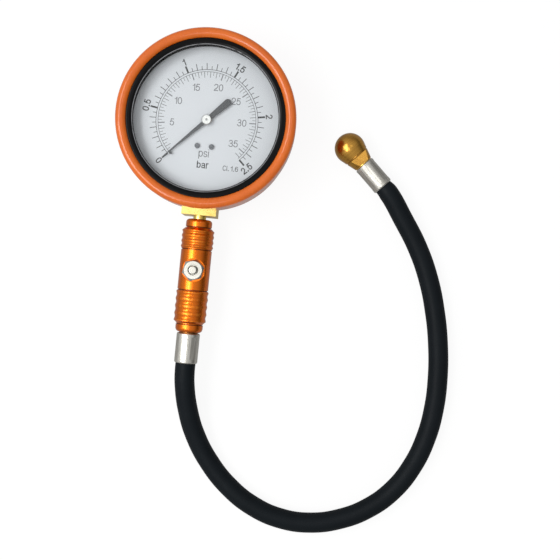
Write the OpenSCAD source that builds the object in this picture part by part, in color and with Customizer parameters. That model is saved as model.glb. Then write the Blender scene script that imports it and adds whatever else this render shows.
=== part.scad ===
// Tyre pressure gauge: a Bourdon gauge in a rubber boot, a turned handle with
// a bleed valve, a crimped rubber hose and a ball chuck. Millimetres.
// +Z comes out of the dial and +Y runs from the stem to the top of the dial.
// The origin is on the pointer's axis, in the plane of the boot's back face.

/* [Case and boot] */
// Outside diameter of the steel case
case_d = 98; // [94:0.5:102]
// Sheet thickness of the case
case_wall = 1; // [0.8:0.1:1.4]
// Radius of the case's back edge
case_corner = 3; // [2:0.5:5]
// Width of the rolled rim at the front of the case
flange_w = 1; // [0.8:0.1:1.4]
// Thickness of the rolled rim
flange_t = 1.5; // [1:0.1:2]
// Rubber outside the bezel
boot_wall = 5.1; // [4:0.1:7]
// Rubber behind the case's back
boot_floor = 2.5; // [2.4:0.1:4]
// How much the boot narrows towards its back, on the radius
boot_taper = 1.8; // [0:0.1:3]
// Overlap of the boot's front lip on the bezel
boot_lip = 1.6; // [1:0.1:2]
// Width of the boot's back edge, inwards from the case's side
boot_back_w = 7; // [5:0.5:9]
// Height of the boot's straight part, below its front lip
boot_straight = 15; // [10:0.5:20]
// Rounding of the boot's back edge
boot_round = 3; // [1:0.5:4]

/* [Bezel and window] */
// Width of the bezel's face, from its outer edge to the window
bezel_face = 6; // [5.5:0.1:8]
// Sheet thickness of the bezel
bezel_t = 1; // [0.8:0.1:1.2]
// Metal of the bezel in front of the glass
bezel_front_t = 1.1; // [0.8:0.1:1.6]
// Rounding of the bezel's outer edge
bezel_round = 2.2; // [1.6:0.1:2.4]
// Thickness of the window glass
glass_t = 3; // [2:0.5:4]
// Thickness of the rubber ring under the glass
gasket_t = 1; // [0.5:0.1:2]

/* [Dial and pointer] */
// Depth of the dial's face below the case's rim
dial_depth = 4.7; // [4.5:0.1:6]
// Space between the socket and the dial plate
dial_space = 3; // [2.5:0.1:5]
// Thickness of the dial plate
dial_t = 0.8; // [0.5:0.1:1]
// Gap between the dial's edge and the case
dial_gap = 1.4; // [0.5:0.1:2]
// Length of the pointer from its axis to the tip
pointer_len = 36.8; // [30:0.2:40]
// Length of the pointer's tail
tail_len = 19.4; // [12:0.2:22]
// Width of the pointer beside the hub
pointer_w = 2.7; // [2:0.1:4]
// Width of the tail's rounded end
tail_w = 4.6; // [3:0.1:6]
// Thickness of the pointer
pointer_t = 0.6; // [0.4:0.1:1]
// Height of the pointer above the dial
pointer_rise = 1.6; // [1.4:0.1:1.9]
// Diameter of the hub cap
hub_d = 6.4; // [5:0.1:8]
// Height of the hub cap
hub_h = 1.6; // [1:0.1:1.8]
// Direction of the pointer at zero, from +X
zero_angle = 225; // [225:1:225]
// Distance of the zero stop inside the pointer's tip
stop_in = 6.2; // [4:0.2:10]
// Diameter of the zero stop
stop_d = 1.6; // [1:0.1:2]
// Distance between the two dial screws
dial_screw_gap = 9; // [9:0.1:10]
// Distance of the dial screws below the pointer's axis
dial_screw_y = 16.3; // [16:0.1:17]

/* [Movement] */
// Module of the gear teeth
gear_module = 0.3; // [0.3:0.01:0.3]
// Teeth on the pinion
pinion_teeth = 10; // [10:1:10]
// Teeth that a whole sector wheel would have
wheel_teeth = 120; // [120:1:120]
// Turn of the pointer over the whole scale, in degrees
sweep_angle = 270; // [270:1:270]
// Direction of the sector's axis from the pointer's axis
sector_angle = -35; // [-37:0.5:-33]
// Length of the sector's tail
sector_tail_len = 9; // [8.5:0.1:9.5]
// Thickness of the sector
sector_t = 1.2; // [0.8:0.1:1.4]
// Thickness of the two movement plates
plate_t = 1.2; // [1:0.1:1.5]
// Gap between the movement plates
plate_gap = 10.3; // [10:0.1:10.8]
// Diameter of the pillars between the plates
pillar_d = 4; // [3.4:0.1:4.4]
// Thickness of the link
link_t = 0.8; // [0.6:0.1:1]
// Turns of the hairspring
hair_turns = 3.5; // [2.5:0.5:4]
// Thickness of the hairspring's strip
hair_t = 0.25; // [0.2:0.01:0.3]

/* [Bourdon tube] */
// Space between the tube and the case's wall
tube_space = 12; // [11:0.5:13]
// Height of the flattened tube
tube_h = 16; // [12:0.5:17]
// Width of the flattened tube
tube_w = 4; // [3.4:0.1:4.4]
// Wall of the tube
tube_wall = 0.4; // [0.3:0.05:0.6]
// Direction of the tube's free end
tube_tip_angle = -13; // [-14:0.5:-12]
// Direction of the end that is soldered in the socket
tube_root_angle = 262; // [260:0.5:264]

/* [Socket] */
// Square of the socket's shank, for a wrench
shank_w = 22; // [20:0.5:23]
// Height of the stem's axis above the case's back
stem_rise = 15.5; // [15:0.1:16]
// How far the shank stands out of the boot
shank_reach = 3.2; // [2:0.1:6]
// Length of the bare neck between shank and handle
neck_len = 2.2; // [1:0.1:5]
// Diameter of the neck
neck_d = 8.2; // [7:0.1:9]
// Diameter of the stem's thread
stem_d = 9.7; // [9:0.1:10]
// Length of the stem's thread
stem_thread = 9; // [7:0.5:9.5]
// Width of the socket inside the case
socket_w = 24; // [24:0.5:25]
// Bore of the pressure passage
passage_d = 3; // [2:0.1:3.4]

/* [Handle] */
// Length of the handle
handle_len = 73; // [73:0.5:80]
// Diameter of the handle's smooth middle
handle_d = 19.8; // [19.6:0.1:21]
// Height of the grip ribs
rib_h = 0.5; // [0.3:0.1:1]
// Pitch of the upper ribs
rib_pitch_top = 3.5; // [3:0.1:3.6]
// Pitch of the lower ribs
rib_pitch_low = 4.7; // [4:0.1:4.8]
// Diameter of the upper collar
collar_d = 16.8; // [16:0.1:18]
// Diameter of the lower collar
foot_d = 17.6; // [16:0.1:18.4]
// Main bore of the handle
handle_bore = 6; // [5.6:0.1:6.4]
// Depth of the stem's threaded hole
stem_hole = 10.5; // [10.5:0.5:13]

/* [Bleed valve] */
// Distance of the bleed valve from the handle's upper end
bleed_at = 32.9; // [30:0.1:36]
// Width of the valve's hexagon across flats
bleed_af = 12.5; // [12:0.1:13]
// Height of the hexagon
bleed_hex_h = 4.6; // [4:0.1:6]
// Turn of the hexagon about its axis
bleed_hex_angle = 18; // [0:1:59]
// Diameter of the valve's thread
bleed_thread_d = 8.8; // [8.4:0.1:9.4]
// Height of the valve's seat above the stem's axis
bleed_seat = 7; // [6.8:0.1:7.3]
// Diameter of the push button
button_d = 5.2; // [4.6:0.1:5.8]
// Gap round the push button
button_gap = 0.8; // [0.5:0.1:1]
// How far the button stands above the hexagon
button_rise = 1.9; // [1.8:0.1:3]
// Travel of the button
button_travel = 1.6; // [1:0.1:1.6]

/* [Hose] */
// Outside diameter of the hose
hose_d = 13; // [12:0.1:13.4]
// Bore of the hose
hose_bore = 7.8; // [7:0.1:8]
// Outside diameter of the ferrule at the handle
ferrule_d = 14.9; // [14.9:0.1:16]
// Outside diameter of the ferrule at the chuck
chuck_ferrule_d = 13.6; // [13.2:0.1:15]
// Length of both ferrules
ferrule_len = 19.2; // [16:0.1:24]
// Wall of both ferrules
ferrule_wall = 0.9; // [0.6:0.1:1]
// Depth of the crimped flats
crimp = 0.15; // [0.05:0.05:0.3]
// Diameter of the hose fittings' threads
fitting_d = 10; // [9:0.1:10.6]
// Length of the hose fittings' threads
fitting_len = 9; // [6:0.5:10]
// Gap between a ferrule and what its fitting screws into
fitting_gap = 0.6; // [0.4:0.1:1]

/* [Ball chuck] */
// Diameter of the ball
ball_d = 20; // [19.4:0.1:21]
// Distance from the ball's centre to the end of its neck
neck_end = 13.4; // [13:0.1:15]
// Diameter of the neck's end
neck_end_d = 13; // [12.6:0.1:14]
// Wrench flats on the neck
neck_af = 11; // [11:0.1:12]
// Angle between the mouth and the neck's line
mouth_angle = 45; // [40:1:50]
// Diameter of the mouth that takes the tyre valve
mouth_d = 8.2; // [7.9:0.1:8.6]
// Depth of the mouth, down to the rubber seal
mouth_depth = 4.5; // [3.5:0.1:5]
// Flat land round the mouth
mouth_land = 0.8; // [0.4:0.1:1]
// Thickness of the rubber seal
seal_t = 2.5; // [2:0.1:2.8]
// Place of the ball's centre, to the right of the dial's axis
ball_x = 92.7; // [88:0.1:96]
// Place of the ball's centre, above the dial's axis
ball_y = -5; // [-8:0.1:-2]
// Direction from the ball to the hose
chuck_angle = -43.5; // [-46:0.5:-41]

/* [Fits] */
// Clearance of pieces that are seated in one another
fit = 0.05; // [0.02:0.01:0.06]
// Running clearance of pivots and pins, on the radius
play = 0.05; // [0.03:0.01:0.08]

/* [Hidden] */

round_fn = 128;
small_fn = 48;
cut = 1;            // how far a cutting shape runs past the face that it cuts

// case, bezel and window
case_r = case_d / 2;
case_in_r = case_r - case_wall;
flange_r = case_r + flange_w;
z_case = boot_floor;
z_floor = z_case + case_wall;
stem_z = z_case + stem_rise;
socket_top_z = stem_z + shank_w / 2;
z_dial = socket_top_z + dial_space;
z_dial_top = z_dial + dial_t;
z_rim = z_dial_top + dial_depth;
z_glass = z_rim + gasket_t;
z_glass_top = z_glass + glass_t;
z_bezel_top = z_glass_top + bezel_front_t;
bezel_in_r = flange_r + fit;
bezel_out_r = bezel_in_r + bezel_t;
z_crimp_top = z_rim - flange_t - fit;
z_crimp = z_crimp_top - bezel_t;
window_r = bezel_out_r - bezel_face;
bevel_w = 2.2;      // width of the bezel's inner bevel
bevel_foot = 0.2;   // metal left below the bevel, at the window

// boot
boot_r = bezel_out_r + boot_wall;
boot_back_r = boot_r - boot_taper;
z_lip = z_bezel_top + fit;
bead_r = (boot_r - bezel_out_r + boot_lip) / 2;
bead_sink = 1.1;    // the bead's centre lies this far below the lip's underside
z_bead = z_lip - bead_sink;
boot_wide_z = z_lip - boot_straight;
boot_hole_r = case_r - boot_back_w;

// blow-out plug and case screws
plug_r = 10;
plug_y = 22;
plug_rim = 1.8;
plug_head_t = 1.2;
case_screw_x = 7;
case_screw_head_r = 3;
case_screw_head_t = 1.6;
case_screw_r = 1.9;
cross_len = 3.6;    // cross recess of the case screws
cross_w = 0.8;

// socket
shank_end_y = -(boot_r + shank_reach);
shank_in = 5;       // the shank runs this far into the case
handle_top_y = shank_end_y - neck_len;
neck_in = 0.8;      // the bare neck runs this far into the handle
thread_start_y = handle_top_y - neck_in;
stem_end_y = handle_top_y - stem_thread;
tube_r = case_in_r - tube_space - tube_w / 2;
seat_wall = 5;      // metal of the socket above the tube's slot
slot_angle = 20;
socket_top_y = -(tube_r - tube_w / 2 - seat_wall);
shelf_w = 19;
shelf_drop = 6;     // the shelf lies this far below the stem's axis
shelf_z = stem_z - shelf_drop;
shelf_edge = 3.8;   // metal round the dial screws
shelf_end_y = -(dial_screw_y - shelf_edge);
case_screw_y = -(tube_r + tube_w / 2);
screw_cover = 1;    // metal between the case screws and the tube's slot
case_screw_len = stem_rise - tube_h / 2 - case_wall - screw_cover;
hole_extra = 0.5;   // blind holes are this much deeper than their screws
passage_stop = 5;   // metal between the pressure passage and the socket's top

// movement
pitch_r_pinion = gear_module * pinion_teeth / 2;
pitch_r_sector = gear_module * wheel_teeth / 2;
centres = pitch_r_pinion + pitch_r_sector;
swing_angle = sweep_angle * pinion_teeth / wheel_teeth;
pressure_angle = 20;
backlash = 0.03;    // taken off each flank
pinion_addendum = 1.0 * gear_module;
sector_addendum = 0.55 * gear_module;
root_clearance = 0.1;
sector_at = centres * [cos(sector_angle), sin(sector_angle)];
mesh_angle = sector_angle + 180;
tooth_angle = 360 / wheel_teeth;
teeth_before = 1;
teeth_after = ceil(swing_angle / tooth_angle) + 1;
z_plate_low = shelf_z;
z_gap_low = z_plate_low + plate_t;
z_gap_top = z_gap_low + plate_gap;
z_plate_top = z_gap_top + plate_t;
sector_rise = 3;    // height of the sector above the back plate
z_sector = z_gap_low + sector_rise;
pinion_face = 4;
z_pinion = z_sector + sector_t / 2 - pinion_face / 2;
link_gap = 0.2;     // the link's clearance above and below
pin_over = 0.1;     // the link's pins stand this far past it
rivet_t = 0.7;
z_link = z_sector + sector_t + link_gap;
z_ear = z_link + link_t + link_gap;
ear_t = 1.4;
arbor_r = 1;
pivot_r = 0.6;
spindle_r = 0.8;
collet_r = 1.6;
hair_drop = 2.9;    // the hairspring lies this far below the front plate
z_hair = z_gap_top - hair_drop;
hair_h = 1;
hair_in_r = collet_r + hair_t / 2 + fit;
hair_out_r = 6.4;
stud_r = 0.7;
stud_angle = 150;
hair_gap = 0.03;
plate_edge = 3.4;
plate_space = 4.6;  // between the movement plates and the tube
pillar_at = [[-8, -4], [10, 9.5], [tube_r - tube_w / 2 - plate_space - plate_edge, -1]];
screw_r = 1.1;
screw_head_r = 1.9;
screw_head_t = 1.2;
screw_len = 3.4;
shim = 0.05;        // end play of the arbors between the plates
pivot_in = 0.1;     // the pivots end this far inside the plates' outer faces
collet_over = 0.4;  // the collet stands this far past the hairspring
spindle_in = 0.2;   // the spindle ends this far inside the hub
stud_over = 0.3;
stud_step = 0.2;
slot_depth = 0.5;   // slots of the small screws

// tube tip and link: the tail moves along its arc, the tip along that arc's chord
tail_angle = 30 - 90 - swing_angle / 2;
tail_at = sector_at + sector_tail_len * [cos(tail_angle), sin(tail_angle)];
cap_angle = 6;
cap_grow = 0.5;
cap_plug_angle = 5; // the cap's plug fills this much of the tube
ear_angle = tube_tip_angle - cap_angle / 2;
ear_reach = 5.5;    // from the tube's middle to the link's pin
ear_r = tube_r - ear_reach;
ear_at = ear_r * [cos(ear_angle), sin(ear_angle)];
link_vec = ear_at - tail_at;
link_len = norm(link_vec);
link_angle = atan2(link_vec.y, link_vec.x);
link_w = 3.2;
tail_pin_r = 0.6;
tip_pin_r = 0.5;
open_play = 0.26;   // the opened pivot's clearance on the radius
ear_w = 3;

// dial and pointer
dial_r = case_in_r - dial_gap;
dial_hole_r = 2.6;
z_pointer = z_dial_top + pointer_rise;
z_hub_top = z_pointer + pointer_t + hub_h;
hub_neck_r = 1.3;
hub_foot_r = 2.2;
hub_foot_h = 0.9;
hub_edge = 0.5;
standoff_af = 4.6;
standoff_stud_r = 1.2;
standoff_stud = 4;
dial_screw_r = 1.2;
dial_screw_head_r = 1.7;
dial_screw_head_t = 1;
dial_screw_len = 4;
point_len = 0.6;    // the blade's last stretch, which ends in the sharp tip
stop_r = pointer_len - stop_in;
point_half_w = 0.12;
half_w_at_stop = pointer_w / 2
    + (point_half_w - pointer_w / 2) * stop_r / (pointer_len - point_len);
stop_gap = 0.1;
stop_over = 0.3;    // the stop stands this far above the pointer
stop_offset = half_w_at_stop + stop_d / 2 + stop_gap;

// handle, in distances from its upper end
handle_r = handle_d / 2;
collar_r = collar_d / 2;
foot_r = foot_d / 2;
collar_round = 2.2;
groove_w = 0.6;
groove_depth = 0.6;
collar_len = 4.9;
rib_top_at = 7.4;
rib_top_n = 3;
upper_groove = rib_top_at + rib_top_n * rib_pitch_top + 1.4;
rib_low_n = 4;
rib_low_end = handle_len - 7.3;
rib_low_at = rib_low_end - rib_low_n * rib_pitch_low;
lower_groove = rib_low_at - 1.4;
foot_at = handle_len - 5.5;
foot_round = 2.6;
fitting_washer_t = 1.2;
fitting_hole = fitting_len + fitting_washer_t;

// bleed valve
bleed_y = handle_top_y - bleed_at;
z_seat = stem_z + bleed_seat;
spot_r = bleed_af / sqrt(3) + 0.3;
z_hex_top = z_seat + bleed_hex_h;
hex_face_r = bleed_af / 2 - 0.55;
hex_chamfer_angle = 40;
z_valve_end = stem_z + handle_bore / 2 + 0.7;
pocket_r = button_d / 2 + button_gap;
pocket_floor = 1.6;
z_pocket = z_valve_end + pocket_floor + 0.7;
button_stem_r = 1;
stem_play = 0.3;
z_button_top = z_hex_top + button_rise;
z_button_foot = z_pocket + button_travel + 0.7;
dome = 0.6;
bleed_seal_r = 2.4;
bleed_seal_t = 1.2;
retainer_t = 0.6;
z_bleed_seal = z_valve_end - bleed_seal_t - fit;
z_retainer = z_bleed_seal - retainer_t;
spring_wire = 0.5;
spring_r = button_stem_r + 0.45 + spring_wire / 2;
spring_turns = 3;
spring_sides = 6;
spring_steps = 12;

// hose and fittings
hose_r = hose_d / 2;
z_lay = hose_r;
ferrule_r = ferrule_d / 2;
chuck_ferrule_r = chuck_ferrule_d / 2;
handle_end_y = handle_top_y - handle_len;
ferrule_lid = 1;
barb_r = hose_bore / 2 - fit;
fitting_r = fitting_d / 2;
shoulder_r = fitting_r + 1;
hose_in = ferrule_len - ferrule_lid;
ferrule_start_y = handle_end_y - fitting_gap;
hose_start_y = ferrule_start_y - ferrule_lid;
ferrule_end_y = ferrule_start_y - ferrule_len;
hose_sides = 12;
squeeze_len = 5;

// chuck
ball_r = ball_d / 2;
neck_end_r = neck_end_d / 2;
neck_tangent = acos(ball_r / norm([neck_end, neck_end_r])) + atan2(neck_end_r, neck_end);
neck_start = ball_r * cos(neck_tangent);
neck_start_r = ball_r * sin(neck_tangent);
neck_slope = (neck_start_r - neck_end_r) / (neck_end - neck_start);
neck_hole = fitting_len + 0.6;
chuck_fitting_r = 4;
flats_at = 7.6;
neck_groove_at = 6.9;
neck_groove_r = 0.35;   // round groove between the ball and its neck
mouth_r = mouth_d / 2;
mouth_plane = sqrt(pow(ball_r, 2) - pow(mouth_r + mouth_land, 2));
seal_r = mouth_r + 0.8;
seal_hole_r = 2;
seal_top = mouth_plane - mouth_depth;
seal_foot = seal_top - seal_t;
depressor_r = 3.2;
depressor_t = 1;
pin_r = 0.8;
pin_below_seal = 0.2;
vent_r = 0.45;
vent_at = 1.4;
chuck_at = [ball_x, ball_y, ball_r];
chuck_out = [cos(chuck_angle), sin(chuck_angle), 0];
chuck_hose_end = neck_end + fitting_gap + ferrule_len;
chuck_hose_in = neck_end + fitting_gap + ferrule_lid;

// The hose's centre line between its two ferrules, chosen by hand
route = [
    [0.6, -168, 17.2], [4.1, -185.7, 13], [10.3, -202.6, 8.6], [20.8, -219.3, z_lay],
    [35, -234, z_lay], [52, -245.2, z_lay], [71, -251.6, z_lay], [91, -252.5, z_lay],
    [110.5, -248, z_lay], [128, -239.2, z_lay], [143.2, -225.7, z_lay], [154.3, -208.6, z_lay],
    [161.2, -190, z_lay], [164.7, -170, z_lay], [165.2, -149, z_lay], [163.2, -127, z_lay],
    [159.1, -106, z_lay], [152.9, -85.5, z_lay], [143.7, -65.5, z_lay + 0.3],
    [131.8, -47.2, z_lay + 1.9]];
hose_path = concat(
    [[0, hose_start_y, stem_z], [0, ferrule_end_y, stem_z]],
    [[0, ferrule_end_y - squeeze_len, stem_z]],
    route,
    [chuck_at + (chuck_hose_end + squeeze_len) * chuck_out],
    [chuck_at + chuck_hose_end * chuck_out, chuck_at + chuck_hose_in * chuck_out]);
squeezed_r = min(hose_r, chuck_ferrule_r - ferrule_wall - fit);
gripped_r = min(hose_r, ferrule_r - ferrule_wall - fit);
hose_radii = [for (i = [0 : len(hose_path) - 1])
    i < 2 ? gripped_r : i > len(hose_path) - 3 ? squeezed_r : hose_r];

// ---- functions ----
function arc_points(c, r, a0, a1, n) =
    [for (i = [0 : n]) let (a = a0 + (a1 - a0) * i / n) [c.x + r * cos(a), c.y + r * sin(a)]];

function polar(r, a) = [r * cos(a), r * sin(a)];

function involute(a) = tan(a) * 180 / PI - a;

// half the angle that a tooth fills at radius r, less its backlash
function half_tooth(r, pitch_r, n) =
    let (base_r = pitch_r * cos(pressure_angle))
    90 / n + involute(pressure_angle) - (r > base_r ? involute(acos(base_r / r)) : 0)
    - backlash / r * 180 / PI;

// one tooth's outline from its root on one side to its root on the other
function tooth_points(mid, pitch_r, n, root_r, tip_r) =
    let (steps = 4)
    concat(
        [for (i = [0 : steps]) let (r = root_r + (tip_r - root_r) * i / steps)
            polar(r, mid - half_tooth(r, pitch_r, n))],
        [for (i = [steps : -1 : 0]) let (r = root_r + (tip_r - root_r) * i / steps)
            polar(r, mid + half_tooth(r, pitch_r, n))]);

// grip ribs as [radius, distance] points from one crest to another
function rib_points(at, pitch, count, valley_r, height) =
    let (steps = 8)
    [for (i = [0 : count * steps])
        [valley_r + height * (0.5 + 0.5 * cos(360 * i / steps)), at + pitch * i / steps]];

function unit(v) = v / norm(v);

// direction of a path at point i
function heading(path, i) =
    unit(path[min(i + 1, len(path) - 1)] - path[max(i - 1, 0)]);

// a ring of points round point i of a path
function ring(path, i, r, sides) =
    let (t = heading(path, i), side = unit(cross(t, [0, 0, 1])), up = cross(side, t))
    [for (k = [0 : sides - 1]) let (a = 360 * k / sides)
        path[i] + r * (side * sin(a) + up * cos(a))];

// quads between ring a and ring b, each split in two triangles
function band(a, b, sides) =
    [for (k = [0 : sides - 1]) let (n = (k + 1) % sides)
        each [[a + k, b + k, b + n], [a + k, b + n, a + n]]];

// ---- placing ----
module along_stem(y) translate([0, y, stem_z]) rotate([90, 0, 0]) children();

module along_chuck(u)
    translate(chuck_at) rotate([0, 0, chuck_angle]) rotate([0, 90, 0]) translate([0, 0, u])
        children();

module along_mouth(u) along_chuck(0) rotate([0, 180 - mouth_angle, 0]) translate([0, 0, u])
    children();

module rod(r, h) cylinder(r = r, h = h, $fn = small_fn);

module pan_screw(head_r, head_t, shank_r, shank_len) {
    rod(head_r, head_t);
    translate([0, 0, -shank_len]) rod(shank_r, shank_len);
}

module screw_slot(head_r, head_t)
    translate([-head_r - cut, -slot_depth / 2, head_t - slot_depth])
        cube([2 * (head_r + cut), slot_depth, slot_depth + cut]);

// ---- boot, case and window ----
module rubber_boot() color("darkorange") difference() {
    lip_end = asin(bead_sink / bead_r);
    rotate_extrude($fn = round_fn) polygon(concat(
        [[boot_hole_r, 0]],
        arc_points([boot_back_r - boot_round, boot_round], boot_round, -90, 0, 6),
        [[boot_r, boot_wide_z]],
        arc_points([boot_r - bead_r, z_bead], bead_r, 0, 180 - lip_end, 20),
        [[bezel_out_r + fit, z_lip], [bezel_out_r + fit, z_crimp - fit],
         [case_r + fit, z_crimp - fit]],
        arc_points([case_r - case_corner, z_case + case_corner], case_corner + fit, 0, -90, 6),
        [[boot_hole_r, z_case - fit]]));
    shank_opening(boot_r + cut, case_r - shank_in);
}

// the opening that the socket's square shank passes through
module shank_opening(out_r, in_r)
    translate([-shank_w / 2 - fit, -out_r, stem_z - shank_w / 2 - fit])
        cube([shank_w + 2 * fit, out_r - in_r, shank_w + 2 * fit]);

module case() color("dimgray") difference() {
    rotate_extrude($fn = round_fn) polygon(concat(
        [[0, z_case]],
        arc_points([case_r - case_corner, z_case + case_corner], case_corner, -90, 0, 6),
        [[case_r, z_rim - flange_t], [flange_r, z_rim - flange_t], [flange_r, z_rim],
         [case_in_r, z_rim]],
        arc_points([case_r - case_corner, z_case + case_corner], case_corner - case_wall,
            0, -90, 6),
        [[0, z_floor]]));
    shank_opening(case_r + cut, case_r - shank_in);
    translate([0, plug_y, z_case - cut]) rod(plug_r + fit, case_wall + 2 * cut);
    for (s = [-1, 1]) translate([s * case_screw_x, case_screw_y, z_case - cut])
        rod(case_screw_r + fit, case_wall + 2 * cut);
}

module bezel_ring() color([0.08, 0.08, 0.09]) rotate_extrude($fn = round_fn) polygon(concat(
    [[case_r + fit, z_crimp], [bezel_out_r, z_crimp]],
    arc_points([bezel_out_r - bezel_round, z_bezel_top - bezel_round], bezel_round, 0, 90, 8),
    [[window_r + bevel_w, z_bezel_top], [window_r + bevel_w * 0.8, z_bezel_top - bevel_foot],
     [window_r, z_glass_top + fit + bevel_foot], [window_r, z_glass_top + fit],
     [bezel_in_r, z_glass_top + fit], [bezel_in_r, z_crimp_top], [case_r + fit, z_crimp_top]]));

module window_gasket() color("black") translate([0, 0, z_rim]) difference() {
    cylinder(r = flange_r, h = gasket_t, $fn = round_fn);
    translate([0, 0, -cut]) cylinder(r = case_in_r, h = gasket_t + 2 * cut, $fn = round_fn);
}

module window_glass() color([0.85, 0.92, 0.95, 0.3])
    translate([0, 0, z_glass]) cylinder(r = flange_r, h = glass_t, $fn = round_fn);

module blow_out_plug() color("black") translate([0, plug_y, 0]) {
    translate([0, 0, z_case - plug_head_t]) rod(plug_r + plug_rim, plug_head_t);
    translate([0, 0, z_case]) rod(plug_r, case_wall);
    translate([0, 0, z_floor]) rod(plug_r + plug_rim / 2, plug_head_t);
}

module case_screws() color("silver") for (s = [-1, 1])
    translate([s * case_screw_x, case_screw_y, z_case]) mirror([0, 0, 1]) difference() {
        pan_screw(case_screw_head_r, case_screw_head_t, case_screw_r,
            case_wall + case_screw_len);
        for (a = [0, 90]) rotate([0, 0, a])
            translate([-cross_len / 2, -cross_w / 2, case_screw_head_t - cross_w])
                cube([cross_len, cross_w, cross_w + cut]);
    }

// ---- dial and pointer ----
module dial_plate() color("gainsboro") translate([0, 0, z_dial]) difference() {
    cylinder(r = dial_r, h = dial_t, $fn = round_fn);
    translate([0, 0, -cut]) {
        rod(dial_hole_r, dial_t + 2 * cut);
        for (s = [-1, 1]) translate([s * dial_screw_gap / 2, -dial_screw_y])
            rod(dial_screw_r + play, dial_t + 2 * cut);
        stop_place() rod(stop_d / 2 + fit / 2, dial_t + 2 * cut);
    }
}

module stop_place() rotate([0, 0, zero_angle]) translate([stop_r, stop_offset, 0]) children();

module dial_screws() color("dimgray") for (s = [-1, 1])
    translate([s * dial_screw_gap / 2, -dial_screw_y, z_dial_top]) difference() {
        pan_screw(dial_screw_head_r, dial_screw_head_t, dial_screw_r,
            dial_t + dial_screw_len);
        rotate([0, 0, 35 * s]) screw_slot(dial_screw_head_r, dial_screw_head_t);
    }

module dial_standoffs() color("goldenrod") for (s = [-1, 1])
    translate([s * dial_screw_gap / 2, -dial_screw_y, 0]) {
        difference() {
            translate([0, 0, z_gap_low])
                cylinder(d = standoff_af / cos(30), h = z_dial - z_gap_low, $fn = 6);
            translate([0, 0, z_dial - dial_screw_len - hole_extra])
                rod(dial_screw_r + fit, dial_screw_len + hole_extra + cut);
        }
        translate([0, 0, z_gap_low - plate_t - standoff_stud])
            rod(standoff_stud_r, plate_t + standoff_stud);
    }

module zero_stop_pin() color("dimgray") stop_place() {
    translate([0, 0, z_dial]) rod(stop_d / 2, z_pointer + pointer_t + stop_over - z_dial);
}

module pointer() color([0.15, 0.15, 0.16]) translate([0, 0, z_pointer]) difference() {
    linear_extrude(pointer_t) rotate([0, 0, zero_angle]) {
        polygon([[0, -pointer_w / 2], [pointer_len - point_len, -point_half_w],
            [pointer_len, 0], [pointer_len - point_len, point_half_w], [0, pointer_w / 2]]);
        polygon([[0, -pointer_w / 2], [0, pointer_w / 2],
            [-tail_len + tail_w / 2, tail_w / 2], [-tail_len + tail_w / 2, -tail_w / 2]]);
        translate([-tail_len + tail_w / 2, 0]) circle(d = tail_w, $fn = small_fn);
        circle(r = hub_foot_r + 0.4, $fn = small_fn);
    }
    translate([0, 0, -cut]) rod(hub_neck_r + fit / 2, pointer_t + 2 * cut);
}

module pointer_hub() color("silver") difference() {
    union() {
        translate([0, 0, z_pointer - hub_foot_h]) rod(hub_foot_r, hub_foot_h);
        translate([0, 0, z_pointer]) rod(hub_neck_r, pointer_t);
        translate([0, 0, z_pointer + pointer_t]) rotate_extrude($fn = small_fn)
            polygon([[0, 0], [hub_d / 2, 0], [hub_d / 2, hub_h - hub_edge],
                [hub_d / 2 - hub_edge, hub_h], [0, hub_h]]);
    }
    translate([0, 0, z_pointer - hub_foot_h - cut])
        rod(spindle_r + fit / 2, z_hub_top - z_pointer + hub_foot_h + 2 * cut);
}

// ---- movement ----
module pinion_arbor() color("goldenrod") {
    pinion_root = pitch_r_pinion - sector_addendum - root_clearance;
    translate([0, 0, z_plate_low + pivot_in]) rod(pivot_r, plate_t + shim);
    translate([0, 0, z_gap_low + shim]) rod(arbor_r, plate_gap - 2 * shim);
    translate([0, 0, z_hair - collet_over]) rod(collet_r, hair_h + 2 * collet_over);
    translate([0, 0, z_gap_top - shim])
        rod(spindle_r, z_hub_top - spindle_in - z_gap_top + shim);
    translate([0, 0, z_pinion]) linear_extrude(pinion_face)
        rotate([0, 0, sector_angle + 180 / pinion_teeth])
            polygon([for (k = [0 : pinion_teeth - 1])
                each tooth_points(360 * k / pinion_teeth, pitch_r_pinion, pinion_teeth,
                    pinion_root, pitch_r_pinion + pinion_addendum)]);
}

// the strip's centre line winds out from the collet to the stud
function hair_radius(f) = hair_in_r + (hair_out_r - hair_in_r) * f;

module hairspring() color("steelblue") translate([0, 0, z_hair]) linear_extrude(hair_h) {
    steps = 24 * hair_turns;
    polygon(concat(
        [for (i = [0 : steps]) let (f = i / steps)
            polar(hair_radius(f) + hair_t / 2, stud_angle - 360 * hair_turns * (1 - f))],
        [for (i = [steps : -1 : 0]) let (f = i / steps)
            polar(hair_radius(f) - hair_t / 2, stud_angle - 360 * hair_turns * (1 - f))]));
}

module hairspring_stud() color("goldenrod")
    rotate([0, 0, stud_angle]) translate([hair_out_r + hair_t / 2 + hair_gap + stud_r, 0, 0]) {
        translate([0, 0, z_hair - stud_over]) rod(stud_r, z_gap_top - z_hair + stud_over);
        translate([0, 0, z_gap_top]) rod(stud_r - stud_step, plate_t);
    }

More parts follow.
